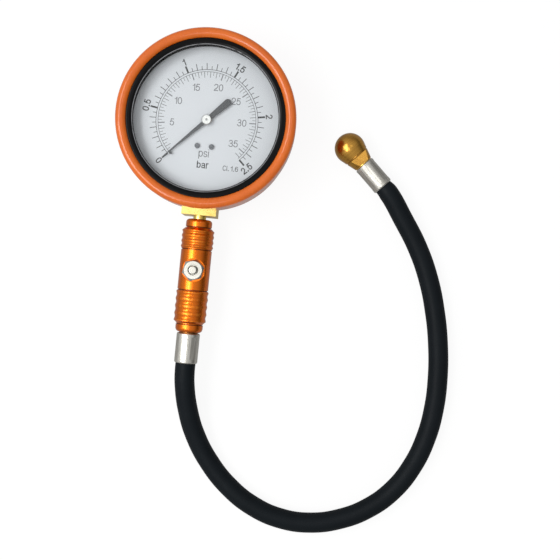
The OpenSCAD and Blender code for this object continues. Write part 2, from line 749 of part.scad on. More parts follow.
module sector_gear() color("goldenrod")
    translate([sector_at.x, sector_at.y, z_sector]) difference() {
        root_r = pitch_r_sector - pinion_addendum - root_clearance;
        first = mesh_angle - teeth_after * tooth_angle;
        last = mesh_angle + teeth_before * tooth_angle;
        edge = tooth_angle * 0.6;
        linear_extrude(sector_t) {
            polygon(concat([polar(0.5, mesh_angle + 180)],
                [polar(root_r, first - edge)],
                [for (k = [-teeth_after : teeth_before])
                    each tooth_points(mesh_angle + k * tooth_angle, pitch_r_sector, wheel_teeth,
                        root_r, pitch_r_sector + sector_addendum)],
                [polar(root_r, last + edge)]));
            circle(r = 3, $fn = small_fn);
            rotate([0, 0, tail_angle]) {
                translate([0, -1.3]) square([sector_tail_len, 2.6]);
                translate([sector_tail_len, 0]) circle(r = 1.6, $fn = small_fn);
            }
        }
        translate([0, 0, -cut]) {
            rod(arbor_r + fit / 2, sector_t + 2 * cut);
            translate(polar(sector_tail_len, tail_angle)) rod(tail_pin_r + fit / 2, sector_t + 2 * cut);
            linear_extrude(sector_t + 2 * cut) polygon(concat(
                arc_points([0, 0], pitch_r_sector - 3.2, first + 4, last - 4, 8),
                arc_points([0, 0], 6, last - 9, first + 9, 3)));
        }
    }

module sector_arbor() color("goldenrod") translate([sector_at.x, sector_at.y, 0]) {
    translate([0, 0, z_plate_low + pivot_in])
        rod(pivot_r, plate_gap + 2 * (plate_t - pivot_in));
    translate([0, 0, z_gap_low + shim]) rod(arbor_r, plate_gap - 2 * shim);
    for (z = [z_sector - 1, z_sector + sector_t])
        translate([0, 0, z]) rod(arbor_r + 0.8, 1);
}

module plate_outline() hull() {
    for (p = pillar_at) translate(p) circle(r = plate_edge, $fn = 32);
    translate(sector_at) circle(r = plate_edge, $fn = 32);
}

module plate_holes() {
    translate([0, 0, -cut]) {
        translate(sector_at) rod(pivot_r + play, plate_t + 2 * cut);
        for (p = pillar_at) translate(p) rod(screw_r + play, plate_t + 2 * cut);
    }
}

module movement_back_plate() color("gold") translate([0, 0, z_plate_low]) difference() {
    linear_extrude(plate_t) {
        plate_outline();
        translate([-shelf_w / 2, -dial_screw_y - shelf_edge])
            square([shelf_w, dial_screw_y + shelf_edge + pillar_at[0].y]);
    }
    plate_holes();
    translate([0, 0, -cut]) rod(pivot_r + play, plate_t + 2 * cut);
    for (s = [-1, 1]) translate([s * dial_screw_gap / 2, -dial_screw_y, -cut])
        rod(standoff_stud_r + fit, plate_t + 2 * cut);
}

module movement_front_plate() color("gold") translate([0, 0, z_gap_top]) difference() {
    linear_extrude(plate_t) plate_outline();
    plate_holes();
    translate([0, 0, -cut]) {
        rod(spindle_r + play, plate_t + 2 * cut);
        rotate([0, 0, stud_angle]) translate([hair_out_r + hair_t / 2 + hair_gap + stud_r, 0, 0])
            rod(stud_r - stud_step + fit / 2, plate_t + 2 * cut);
    }
}

module movement_pillars() color("goldenrod") for (p = pillar_at)
    translate([p.x, p.y, z_gap_low]) difference() {
        rod(pillar_d / 2, plate_gap);
        for (z = [-cut, plate_gap - screw_len]) translate([0, 0, z])
            rod(screw_r + play, screw_len + cut);
    }

module movement_screws() color("silver") for (p = pillar_at) {
    translate([p.x, p.y, z_plate_top]) movement_screw();
    translate([p.x, p.y, z_plate_low]) mirror([0, 0, 1]) movement_screw();
}

module movement_screw() difference() {
    pan_screw(screw_head_r, screw_head_t, screw_r, plate_t + screw_len - 0.3);
    screw_slot(screw_head_r, screw_head_t);
}

// ---- link, tip and tube ----
module link_bar() color("silver")
    translate([tail_at.x, tail_at.y, z_link]) rotate([0, 0, link_angle]) difference() {
        linear_extrude(link_t) {
            for (x = [0, link_len]) translate([x, 0]) circle(d = link_w, $fn = small_fn);
            translate([0, -link_w * 0.35]) square([link_len, link_w * 0.7]);
        }
        translate([0, 0, -cut]) {
            rod(tail_pin_r + play, link_t + 2 * cut);
            translate([link_len, 0, 0]) rod(tip_pin_r + open_play, link_t + 2 * cut);
        }
    }

module link_shoulder_screw() color("silver") translate([tail_at.x, tail_at.y, z_sector]) {
    rod(tail_pin_r, z_link + link_t + pin_over - z_sector);
    translate([0, 0, z_link + link_t + pin_over - z_sector]) rod(tail_pin_r + rivet_t, rivet_t);
}

module link_tip_pin() color("silver") translate([ear_at.x, ear_at.y, 0]) {
    translate([0, 0, z_link - pin_over]) rod(tip_pin_r, z_ear + ear_t - z_link + pin_over);
    translate([0, 0, z_ear + ear_t]) rod(tip_pin_r + rivet_t, rivet_t);
}

module tube_section(grow) {
    w = tube_w + 2 * grow;
    h = tube_h + 2 * grow;
    square([w, h - w], center = true);
    for (s = [-1, 1]) translate([0, s * (h - w) / 2]) circle(d = w, $fn = small_fn);
}

module tube_sweep(grow, from, to)
    translate([0, 0, stem_z]) rotate([0, 0, from])
        rotate_extrude(angle = to - from, $fn = round_fn) translate([tube_r, 0])
            tube_section(grow);

module tube_tip() color("goldenrod") difference() {
    union() {
        tube_sweep(cap_grow, tube_tip_angle - cap_angle, tube_tip_angle);
        tube_sweep(-tube_wall - fit, tube_tip_angle - 1,
            tube_tip_angle + cap_plug_angle);
        translate([0, 0, z_ear]) linear_extrude(ear_t) rotate([0, 0, ear_angle]) {
            translate([ear_r, -ear_w / 2]) square([tube_r - ear_r, ear_w]);
            translate([ear_r, 0]) circle(d = ear_w, $fn = small_fn);
        }
    }
    translate([ear_at.x, ear_at.y, z_ear - cut]) rod(tip_pin_r + fit / 2, ear_t + 2 * cut);
}

module bourdon_tube() color("darkgoldenrod") difference() {
    tube_sweep(0, tube_tip_angle, tube_root_angle);
    tube_sweep(-tube_wall, tube_tip_angle - 1, tube_root_angle + 1);
}

// ---- socket ----
module socket_block() color("khaki") difference() {
    union() {
        translate([-shank_w / 2, shank_end_y, stem_z - shank_w / 2])
            cube([shank_w, shank_in - case_r - shank_end_y, shank_w]);
        intersection() {
            translate([-socket_w / 2, -case_in_r, z_floor])
                cube([socket_w, case_in_r + socket_top_y, socket_top_z - z_floor]);
            cylinder(r = case_in_r - fit, h = z_rim, $fn = round_fn);
            socket_foot();
        }
        translate([-shelf_w / 2, socket_top_y - cut, z_floor])
            cube([shelf_w, shelf_end_y - socket_top_y + cut, shelf_z - z_floor]);
        along_stem(shank_end_y) rod(neck_d / 2, shank_end_y - stem_end_y);
        along_stem(thread_start_y) rod(stem_d / 2, thread_start_y - stem_end_y);
    }
    // pressure passage, with a cross drilling to the tube's root
    along_stem(socket_top_y - passage_stop)
        rod(passage_d / 2, socket_top_y - passage_stop - stem_end_y + cut);
    tube_sweep(fit, tube_root_angle - slot_angle, tube_root_angle);
    translate([0, -tube_r, stem_z]) rotate([0, -90, 0]) rod(passage_d / 2, tube_w);
    for (s = [-1, 1]) {
        translate([s * dial_screw_gap / 2, -dial_screw_y, shelf_z - standoff_stud - hole_extra])
            rod(standoff_stud_r + fit, standoff_stud + hole_extra + cut);
        translate([s * case_screw_x, case_screw_y, z_floor - cut])
            rod(case_screw_r + fit, case_screw_len + hole_extra + cut);
    }
}

// keeps the socket clear of the rounded inside edge of the case
module socket_foot() {
    translate([-socket_w, -case_r, z_case + case_corner]) cube([2 * socket_w, 2 * case_r, z_rim]);
    cylinder(r = case_r - case_corner - fit, h = z_rim, $fn = round_fn);
}

module stem_washer() color("chocolate")
    along_stem(stem_end_y) washer(stem_d / 2, passage_d / 2 + 0.3, stem_hole - stem_thread);

module washer(out_r, in_r, t) difference() {
    rod(out_r, t);
    translate([0, 0, -cut]) rod(in_r, t + 2 * cut);
}

// ---- handle ----
module handle_body() color([0.85, 0.4, 0.1]) difference() {
    along_stem(handle_top_y) rotate_extrude($fn = round_fn) polygon(concat(
        [[0, 0]],
        arc_points([collar_r - collar_round, collar_round], collar_round, -90, 0, 8),
        groove_points(collar_len, collar_r),
        [[collar_r, collar_len + groove_w + 0.1]],
        rib_points(rib_top_at, rib_pitch_top, rib_top_n, handle_r, rib_h),
        [[handle_r, upper_groove - 0.5]],
        groove_points(upper_groove, handle_r),
        groove_points(lower_groove, handle_r),
        [[handle_r, rib_low_at - 0.7]],
        rib_points(rib_low_at, rib_pitch_low, rib_low_n, handle_r, rib_h),
        [[foot_r, foot_at - 0.4]],
        groove_points(foot_at, foot_r),
        arc_points([foot_r - foot_round, handle_len - foot_round], foot_round, 0, 90, 8),
        [[0, handle_len]]));
    along_stem(handle_top_y + cut) rod(stem_d / 2 + fit, stem_hole + cut);
    along_stem(handle_top_y) rod(handle_bore / 2, handle_len);
    along_stem(handle_end_y + fitting_hole) rod(fitting_r + fit, fitting_hole + cut);
    translate([0, bleed_y, z_seat]) rod(spot_r, handle_r);
    translate([0, bleed_y, z_valve_end - fit]) rod(bleed_thread_d / 2 + fit, handle_r);
    translate([0, bleed_y, stem_z]) rod(bleed_seal_r + 0.6, handle_r);
}

// a narrow groove, as [radius, distance] points
function groove_points(at, r) =
    [[r, at], [r - groove_depth, at + groove_w * 0.2],
     [r - groove_depth, at + groove_w * 0.8], [r, at + groove_w]];

// ---- bleed valve ----
module bleed_valve_body() color("silver") translate([0, bleed_y, 0]) difference() {
    union() {
        intersection() {
            translate([0, 0, z_seat]) rotate([0, 0, bleed_hex_angle])
                cylinder(d = bleed_af / cos(30), h = bleed_hex_h, $fn = 6);
            rotate_extrude($fn = small_fn) polygon([[0, z_valve_end],
                [spot_r, z_valve_end],
                [spot_r, z_hex_top - (spot_r - hex_face_r) * tan(hex_chamfer_angle)],
                [hex_face_r, z_hex_top], [0, z_hex_top]]);
        }
        translate([0, 0, z_valve_end]) rod(bleed_thread_d / 2, z_seat - z_valve_end);
    }
    translate([0, 0, z_pocket]) rod(pocket_r, z_hex_top - z_pocket + cut);
    translate([0, 0, z_valve_end - cut])
        rod(button_stem_r + stem_play, z_pocket - z_valve_end + 2 * cut);
}

module bleed_button() color("gainsboro") translate([0, bleed_y, 0]) {
    rotate_extrude($fn = small_fn) polygon(concat(
        [[0, z_button_foot], [button_d / 2, z_button_foot]],
        arc_points([button_d / 2 - dome, z_button_top - dome], dome, 0, 90, 5),
        [[0, z_button_top]]));
    translate([0, 0, z_retainer - 0.2]) rod(button_stem_r, z_button_foot - z_retainer + 0.2);
}

module bleed_spring() color("silver") translate([0, bleed_y, 0]) {
    z_low = z_pocket + spring_wire / 2 + fit;
    rise = z_button_foot - z_pocket - spring_wire - 2 * fit;
    count = spring_turns * spring_steps;
    path = [for (i = [0 : count]) let (a = 360 * i / spring_steps)
        [spring_r * cos(a), spring_r * sin(a), z_low + rise * i / count]];
    wire(path, spring_wire / 2, spring_sides);
}

// a solid wire swept along a path
module wire(path, r, sides) {
    n = len(path);
    polyhedron(
        points = [for (i = [0 : n - 1]) each ring(path, i, r, sides)],
        faces = concat(
            [for (i = [0 : n - 2]) each band(i * sides, (i + 1) * sides, sides)],
            [[for (k = [0 : sides - 1]) k]],
            [[for (k = [sides - 1 : -1 : 0]) (n - 1) * sides + k]]));
}

module bleed_seal() color("black")
    translate([0, bleed_y, z_bleed_seal])
        washer(bleed_seal_r, button_stem_r + fit / 2, bleed_seal_t);

module bleed_retainer() color("silver")
    translate([0, bleed_y, z_retainer])
        washer(bleed_seal_r - 0.3, button_stem_r + fit / 2, retainer_t);

// ---- hose and its fittings ----
// a fitting that screws in over "thread" and holds the hose on its barbs
module hose_fitting(thread_r, thread_len, bore_r) difference() {
    barbs = 5;
    start = fitting_gap + ferrule_lid;
    barb_step = (hose_in - 3) / barbs;
    rotate_extrude($fn = small_fn) polygon(concat(
        [[0, -thread_len], [thread_r - 0.6, -thread_len], [thread_r, -thread_len + 0.6],
         [thread_r, -0.6], [thread_r - 0.5, -0.4], [thread_r - 0.5, 0],
         [shoulder_r, 0], [shoulder_r, fitting_gap], [barb_r, fitting_gap]],
        [for (i = [0 : barbs - 1])
            each [[barb_r, start + barb_step * (i + 0.5)],
                  [barb_r - 0.5, start + barb_step * (i + 1)]]],
        [[barb_r - 0.6, start + hose_in - 2.5], [0, start + hose_in - 2.5]]));
    translate([0, 0, -thread_len - cut]) rod(bore_r, thread_len + start + hose_in + 2 * cut);
}

module ferrule(out_r) difference() {
    rotate_extrude($fn = round_fn) polygon([[0, 0], [out_r - 0.5, 0], [out_r, 0.5],
        [out_r, ferrule_len - 0.7], [out_r - 0.4, ferrule_len], [0, ferrule_len]]);
    translate([0, 0, ferrule_lid]) rod(out_r - ferrule_wall, ferrule_len);
    translate([0, 0, -cut]) rod(barb_r + fit, ferrule_lid + 2 * cut);
    for (k = [0 : 7]) rotate([0, 0, 45 * k + 10])
        translate([out_r - crimp, -out_r, 2.2]) cube([1, 2 * out_r, ferrule_len - 5]);
}

module handle_hose_fitting() color("goldenrod")
    along_stem(handle_end_y) hose_fitting(fitting_r, fitting_len, 2);

module handle_fitting_washer() color("chocolate")
    along_stem(handle_end_y + fitting_hole)
        washer(fitting_r - fit, handle_bore / 2 + fit, fitting_washer_t);

module handle_ferrule() color("silver") along_stem(ferrule_start_y) ferrule(ferrule_r);

module hose() color([0.1, 0.1, 0.11]) {
    n = len(hose_path);
    s = hose_sides;
    bore_r = hose_bore / 2 / cos(180 / s);
    outer = [for (i = [0 : n - 1]) each ring(hose_path, i, hose_radii[i], s)];
    inner = [for (i = [0 : n - 1]) each ring(hose_path, i, bore_r, s)];
    in_0 = n * s;
    last = (n - 1) * s;
    polyhedron(points = concat(outer, inner), faces = concat(
        [for (i = [0 : n - 2]) each band(i * s, (i + 1) * s, s)],
        [for (i = [0 : n - 2]) each band(in_0 + (i + 1) * s, in_0 + i * s, s)],
        band(in_0, 0, s),
        band(last, in_0 + last, s)));
}

module chuck_ferrule() color("silver") along_chuck(neck_end + fitting_gap) ferrule(chuck_ferrule_r);

module chuck_hose_fitting() color("goldenrod")
    along_chuck(neck_end) hose_fitting(chuck_fitting_r, fitting_len - 1, 1.5);

// ---- ball chuck ----
module ball_chuck() color("peru") difference() {
    union() {
        along_chuck(0) sphere(r = ball_r, $fn = round_fn);
        along_chuck(neck_start)
            cylinder(r1 = neck_start_r, r2 = neck_end_r, h = neck_end - neck_start, $fn = round_fn);
    }
    for (s = [-1, 1]) along_chuck(flats_at)
        translate([s * neck_af / 2 + (s - 1) * ball_r / 2, -ball_r, 0])
            cube([ball_r, 2 * ball_r, neck_end]);
    along_chuck(neck_groove_at) rotate_extrude($fn = round_fn)
        translate([neck_start_r - (neck_groove_at - neck_start) * neck_slope, 0])
            circle(r = neck_groove_r, $fn = 16);
    along_chuck(neck_end - neck_hole) rod(chuck_fitting_r + fit, neck_hole + cut);
    along_chuck(0) rod(1.5, neck_end);
    along_mouth(mouth_plane) rod(ball_r, ball_r);
    along_mouth(seal_top - fit) rod(mouth_r, ball_r);
    along_mouth(seal_foot) rod(seal_r + fit, seal_t);
    along_mouth(seal_foot - depressor_t) rod(depressor_r + fit, depressor_t + fit);
    along_mouth(seal_foot - depressor_t - 1.2) rod(depressor_r - 0.8, 1.2 + fit);
}

module chuck_seal() color("black") along_mouth(seal_foot) washer(seal_r, seal_hole_r, seal_t - fit);

module valve_depressor() color("goldenrod") along_mouth(seal_foot - depressor_t) difference() {
    union() {
        rod(depressor_r, depressor_t - fit);
        rod(pin_r, depressor_t + seal_t - pin_below_seal);
    }
    for (k = [0 : 2]) rotate([0, 0, 120 * k]) translate([vent_at, 0, -cut])
        rod(vent_r, depressor_t + 2 * cut);
}

rubber_boot();
case();
bezel_ring();
window_gasket();
window_glass();
blow_out_plug();
case_screws();
dial_plate();
dial_screws();
dial_standoffs();
zero_stop_pin();
pointer();
pointer_hub();
pinion_arbor();
hairspring();
hairspring_stud();
sector_gear();
sector_arbor();
movement_back_plate();
movement_front_plate();
movement_pillars();
movement_screws();
link_bar();
link_shoulder_screw();
link_tip_pin();
tube_tip();
bourdon_tube();
socket_block();
stem_washer();
handle_body();
bleed_valve_body();
bleed_button();
bleed_spring();
bleed_seal();
bleed_retainer();
handle_hose_fitting();
handle_fitting_washer();
handle_ferrule();
hose();
chuck_ferrule();
chuck_hose_fitting();
ball_chuck();
chuck_seal();
valve_depressor();
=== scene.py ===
"""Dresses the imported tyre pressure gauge: its hose, boot, dial print, finishes and studio.

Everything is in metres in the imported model's own frame, unless a class says millimetres. The
dial faces +Z, the pointer turns on the Z axis, the stem and the handle run along -Y, and the
hose lies on the floor at Z = 0.
"""

import logging
import math
from collections.abc import Iterator, Sequence
from contextlib import contextmanager
from dataclasses import dataclass, replace
from enum import Enum

import bmesh
import bpy
from mathutils import Matrix, Vector


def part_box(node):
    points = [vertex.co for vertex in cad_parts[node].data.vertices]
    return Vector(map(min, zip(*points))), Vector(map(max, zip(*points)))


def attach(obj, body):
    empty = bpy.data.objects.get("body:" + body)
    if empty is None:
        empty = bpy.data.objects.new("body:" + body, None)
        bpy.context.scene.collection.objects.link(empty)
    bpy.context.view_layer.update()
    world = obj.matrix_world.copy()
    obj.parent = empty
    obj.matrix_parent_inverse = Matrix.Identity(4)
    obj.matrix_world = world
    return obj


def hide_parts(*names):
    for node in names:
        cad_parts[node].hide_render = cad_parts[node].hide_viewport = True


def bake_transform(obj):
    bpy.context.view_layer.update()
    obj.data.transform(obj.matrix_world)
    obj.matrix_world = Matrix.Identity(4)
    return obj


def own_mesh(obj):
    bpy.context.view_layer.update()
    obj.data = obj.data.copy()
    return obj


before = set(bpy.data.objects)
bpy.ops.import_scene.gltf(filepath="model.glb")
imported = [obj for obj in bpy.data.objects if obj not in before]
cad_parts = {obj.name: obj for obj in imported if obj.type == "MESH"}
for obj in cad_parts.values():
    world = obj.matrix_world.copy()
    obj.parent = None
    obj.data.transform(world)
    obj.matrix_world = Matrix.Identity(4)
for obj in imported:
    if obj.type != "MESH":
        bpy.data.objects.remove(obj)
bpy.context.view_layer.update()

LOG = logging.getLogger("gauge")
MM = 0.001
MERGE_WITHIN = 0.0005 * MM
SHARP_ABOVE = math.radians(30)
WHITE = (1.0, 1.0, 1.0, 1.0)

Pair = tuple[float, float]
Triple = tuple[float, float, float]
Rgb = tuple[int, int, int]


def tone(colour: Rgb) -> tuple[float, ...]:
    """Turns a display colour into the linear colour that a shader takes.

    Args:
        colour: Red, green and blue from 0 to 255, as a screen shows them.

    Returns:
        The linear colour with an alpha of 1.
    """
    # the numbers are the constants of the sRGB curve
    linear = [
        v / 12.92 if v <= 0.04045 else ((v + 0.055) / 1.055) ** 2.4
        for v in (level / 255 for level in colour)
    ]
    return (*linear, 1.0)


def mm(*values: float) -> Vector:
    """Gives a point in metres from its coordinates in millimetres."""
    return Vector(values) * MM


# ---- shader maths ----


class Layers(Enum):
    """How many finer layers a noise has, and how strong those are."""

    SOFT = (2.0, 0.5)
    MILD = (3.0, 0.5)
    FINE = (3.0, 0.6)
    RICH = (4.0, 0.6)
    STREAKY = (4.0, 0.62)
    COARSE = (4.0, 0.7)


class Wire:
    """An output socket that can stand in an expression; every operator adds a Math node."""

    def __init__(self, graph: "Graph", socket: bpy.types.NodeSocket) -> None:
        """Wraps an output socket of a node in a graph."""
        self.graph = graph
        self.socket = socket

    def __add__(self, other: "Wire | float") -> "Wire":
        """Adds."""
        return self.graph.math("ADD", self, other)

    __radd__ = __add__

    def __sub__(self, other: "Wire | float") -> "Wire":
        """Subtracts."""
        return self.graph.math("SUBTRACT", self, other)

    def __rsub__(self, other: float) -> "Wire":
        """Subtracts from a number."""
        return self.graph.math("SUBTRACT", other, self)

    def __mul__(self, other: "Wire | float") -> "Wire":
        """Multiplies."""
        return self.graph.math("MULTIPLY", self, other)

    __rmul__ = __mul__

    def __pow__(self, other: float) -> "Wire":
        """Raises to a power."""
        return self.graph.math("POWER", self, other)


class Graph:
    """The node tree of one material or world, and the few ways in which it grows."""

    def __init__(self, owner: bpy.types.Material | bpy.types.World) -> None:
        """Empties the owner's tree.

        Args:
            owner: The material or world whose tree is built.
        """
        owner.use_nodes = True
        self.tree = owner.node_tree
        self.tree.nodes.clear()

    def node(
        self,
        kind: str,
        settings: dict[str, object] | None = None,
        inputs: dict[str | int, object] | None = None,
        output: str | int = 0,
    ) -> Wire:
        """Adds any node.

        Args:
            kind: The node's type.
            settings: Its properties, which are set first.
            inputs: A value or a wire for each named or numbered socket.
            output: The output that is wanted.

        Returns:
            That output.
        """
        made = self.tree.nodes.new(kind)
        for name, value in (settings or {}).items():
            setattr(made, name, value)
        for name, value in (inputs or {}).items():
            if isinstance(value, Wire):
                self.tree.links.new(value.socket, made.inputs[name])
            else:
                made.inputs[name].default_value = value
        return Wire(self, made.outputs[output])

    def math(self, operation: str, *values: "Wire | float") -> Wire:
        """Adds a Math node for an operation on values."""
        return self.node("ShaderNodeMath", {"operation": operation}, dict(enumerate(values)))

    def rise(self, value: Wire, low: float, high: float) -> Wire:
        """Gives 0 below low, 1 above high and a smooth step between."""
        inputs = {"Value": value, "From Min": low, "From Max": high}
        return self.node("ShaderNodeMapRange", {"interpolation_type": "SMOOTHSTEP"}, inputs)

    def band(self, value: Wire, middle: float, inner: float, outer: float) -> Wire:
        """Gives 1 within inner of a middle value, and 0 from outer on."""
        return 1 - self.rise(self.math("ABSOLUTE", value - middle), inner, outer)

    def here(self) -> Wire:
        """Gives the object coordinates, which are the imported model's own."""
        return self.node("ShaderNodeTexCoord", output="Object")

    def place(self, placing: "Placing") -> Wire:
        """Gives object coordinates centred on a piece's axis, with Z along it."""
        inputs = {"Vector": self.here(), "Location": placing.origin, "Rotation": placing.turn}
        return self.node("ShaderNodeMapping", {"vector_type": "TEXTURE"}, inputs)

    def split(self, vector: Wire) -> tuple[Wire, Wire, Wire]:
        """Gives a vector's three parts."""
        parts = self.node("ShaderNodeSeparateXYZ", inputs={0: vector}).socket.node.outputs
        return Wire(self, parts[0]), Wire(self, parts[1]), Wire(self, parts[2])

    def noise(
        self, at: Wire, size: float, layers: Layers = Layers.SOFT, lay: Triple | None = None
    ) -> Wire:
        """Adds soft noise.

        Args:
            at: Where it is read.
            size: The size of its features in metres.
            layers: Its finer layers.
            lay: What its coordinates are multiplied by, where it is drawn out.

        Returns:
            A number round 0.5.
        """
        if lay:
            at = self.node("ShaderNodeVectorMath", {"operation": "MULTIPLY"}, {0: at, 1: lay})
        detail, fine = layers.value
        inputs = {"Vector": at, "Scale": 1 / size, "Detail": detail, "Roughness": fine}
        return self.node("ShaderNodeTexNoise", {"noise_dimensions": "3D"}, inputs)

    def sway(self, noise: Wire, reach: float) -> Wire:
        """Moves noise from round 0.5 to round 0 and gives it a reach."""
        return (noise - 0.5) * reach

    def specks(self, at: Wire, pitch: float, size: float) -> Wire:
        """Adds small round specks.

        Args:
            at: Where they are read.
            pitch: Their distance in metres.
            size: Their size as a share of that.

        Returns:
            1 in a speck and 0 round it.
        """
        inputs = {"Vector": at, "Scale": 1 / pitch, "Randomness": 1.0}
        away = self.node("ShaderNodeTexVoronoi", {"feature": "F1"}, inputs, "Distance")
        return 1 - self.rise(away, size / 2, size)

    def blend(self, factor: Wire, below: "Wire | Rgb", above: Rgb) -> Wire:
        """Mixes a share of a second colour into a first one, plain or already mixed."""
        first = below if isinstance(below, Wire) else tone(below)
        return self.node(
            "ShaderNodeMix", {"data_type": "RGBA"}, {0: factor, 6: first, 7: tone(above)}, 2
        )

    def relief(self, height: Wire, depth: float) -> Wire:
        """Turns a height from 0 to 1 into a bumped normal of a depth in metres."""
        inputs = {"Height": height, "Distance": depth, "Strength": 1.0}
        return self.node("ShaderNodeBump", inputs=inputs)

    def principled(
        self,
        colour: "Wire | tuple[float, ...]",
        roughness: "Wire | float",
        more: dict[str, object] | None = None,
    ) -> Wire:
        """Adds a Principled shader with a base colour, a roughness and more inputs."""
        inputs = {"Base Color": colour, "Roughness": roughness, **(more or {})}
        return self.node("ShaderNodeBsdfPrincipled", inputs=inputs)

    def mix(self, factor: "Wire | float", below: Wire, above: Wire) -> Wire:
        """Mixes two shaders."""
        return self.node("ShaderNodeMixShader", inputs={0: factor, 1: below, 2: above})

    def rays(self) -> tuple[Wire, Wire]:
        """Tells from where a surface is looked at.

        Returns:
            1 for the camera's own rays and those through glass, and 1 for mirrored rays.
        """
        seen = self.node("ShaderNodeLightPath", output="Is Camera Ray")
        kinds = seen.socket.node.outputs
        through = Wire(self, kinds["Is Transmission Ray"])
        return self.math("MAXIMUM", seen, through), Wire(self, kinds["Is Glossy Ray"])

    def end(self, shader: Wire, kind: str = "ShaderNodeOutputMaterial") -> None:
        """Joins a shader to the output."""
        made = self.tree.nodes.new(kind)
        self.tree.links.new(shader.socket, made.inputs[0])


# ---- finishes ----


@dataclass(frozen=True)
class Placing:
    """Where a piece's own axis lies: its local Z runs along it."""

    origin: Triple = (0.0, 0.0, 0.0)
    turn: Triple = (0.0, 0.0, 0.0)


# the way from the ball to its neck, the ball's middle, the tilt of its mouth and the bleed valve
CHUCK_ANGLE = math.radians(-43.5)
CHUCK_AT = (0.0927, -0.005, 0.010)
MOUTH_ANGLE = math.radians(225)
BLEED_Y = -0.09445

DIAL_AXIS = Placing()
STEM_AXIS = Placing((0.0, 0.0, 0.018), (math.pi / 2, 0.0, 0.0))
BLEED_AXIS = Placing((0.0, BLEED_Y, 0.0))
CHUCK_AXIS = Placing(CHUCK_AT, (0.0, math.pi / 2, CHUCK_ANGLE))
MOUTH_AXIS = Placing(CHUCK_AT, (0.0, MOUTH_ANGLE, CHUCK_ANGLE))


class Finish:
    """What every finish can do: become a material once, however many pieces wear it.

    In the fields, an edge says from where to where a pattern comes up, a share says how much
    of its colour it lays on, and dulls says by how much it changes the roughness.
    """

    name: str
    made: dict[str, bpy.types.Material] = {}

    def shade(self, graph: Graph) -> Wire:
        """Builds the shader. Every finish has its own.

        Args:
            graph: The material's graph.

        Returns:
            The shader's output.
        """
        raise NotImplementedError

    def material(self) -> bpy.types.Material:
        """Makes the finish's material at the first call.

        Returns:
            The material.
        """
        if self.name not in Finish.made:
            material = bpy.data.materials.new(self.name)
            graph = Graph(material)
            graph.end(self.shade(graph))
            Finish.made[self.name] = material
        return Finish.made[self.name]

    def dress(self, *nodes: str) -> None:
        """Gives the finish to carried CAD nodes.

        Args:
            *nodes: The names of the nodes.
        """
        for name in nodes:
            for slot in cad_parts[name].material_slots:
                slot.material = self.material()
            LOG.info("%s wears %s", name, self.name)


@dataclass(frozen=True)
class TwoTone(Finish):
    """A finish whose main colour turns to a second one in places."""

    name: str
    colour: Rgb
    second: Rgb


@dataclass(frozen=True)
class Rubber(TwoTone):
    """Moulded rubber: a skin with a fine grain, soft patches and a little dust."""

    dust: Rgb
    roughness: float
    coat: float
    patch_size: float = 18 * MM
    patch_edge: Pair = (0.3, 0.75)
    smear_size: float = 6 * MM
    smear_lay: Triple = (1.0, 0.35, 1.0)
    smear_dulls: float = 0.16
    dust_pitch: float = 2.6 * MM
    dust_size: float = 0.09
    dust_edge: Pair = (0.5, 0.68)
    dust_share: float = 0.45
    dust_dulls: float = 0.2
    grain: float = 0.35 * MM
    grain_depth: float = 0.012 * MM
    specular: float = 0.5
    gloss: float = 0.12

    def shade(self, graph: Graph) -> Wire:
        """Builds the rubber's shader.

        Args:
            graph: The material's graph.

        Returns:
            The shader's output.
        """
        at = graph.here()
        patches = graph.noise(at, self.patch_size, Layers.MILD)
        grain = graph.noise(at, self.grain, Layers.FINE)
        smears = graph.noise(at, self.smear_size, Layers.STREAKY, self.smear_lay)
        dust = graph.specks(at, self.dust_pitch, self.dust_size)
        dust = dust * graph.rise(smears, *self.dust_edge)
        colour = graph.blend(graph.rise(patches, *self.patch_edge), self.colour, self.second)
        return graph.principled(
            graph.blend(dust * self.dust_share, colour, self.dust),
            self.roughness + graph.sway(smears, self.smear_dulls) + dust * self.dust_dulls,
            {
                "Specular IOR Level": self.specular,
                "Coat Weight": self.coat,
                "Coat Roughness": self.gloss,
                "Normal": graph.relief(grain, self.grain_depth),
            },
        )


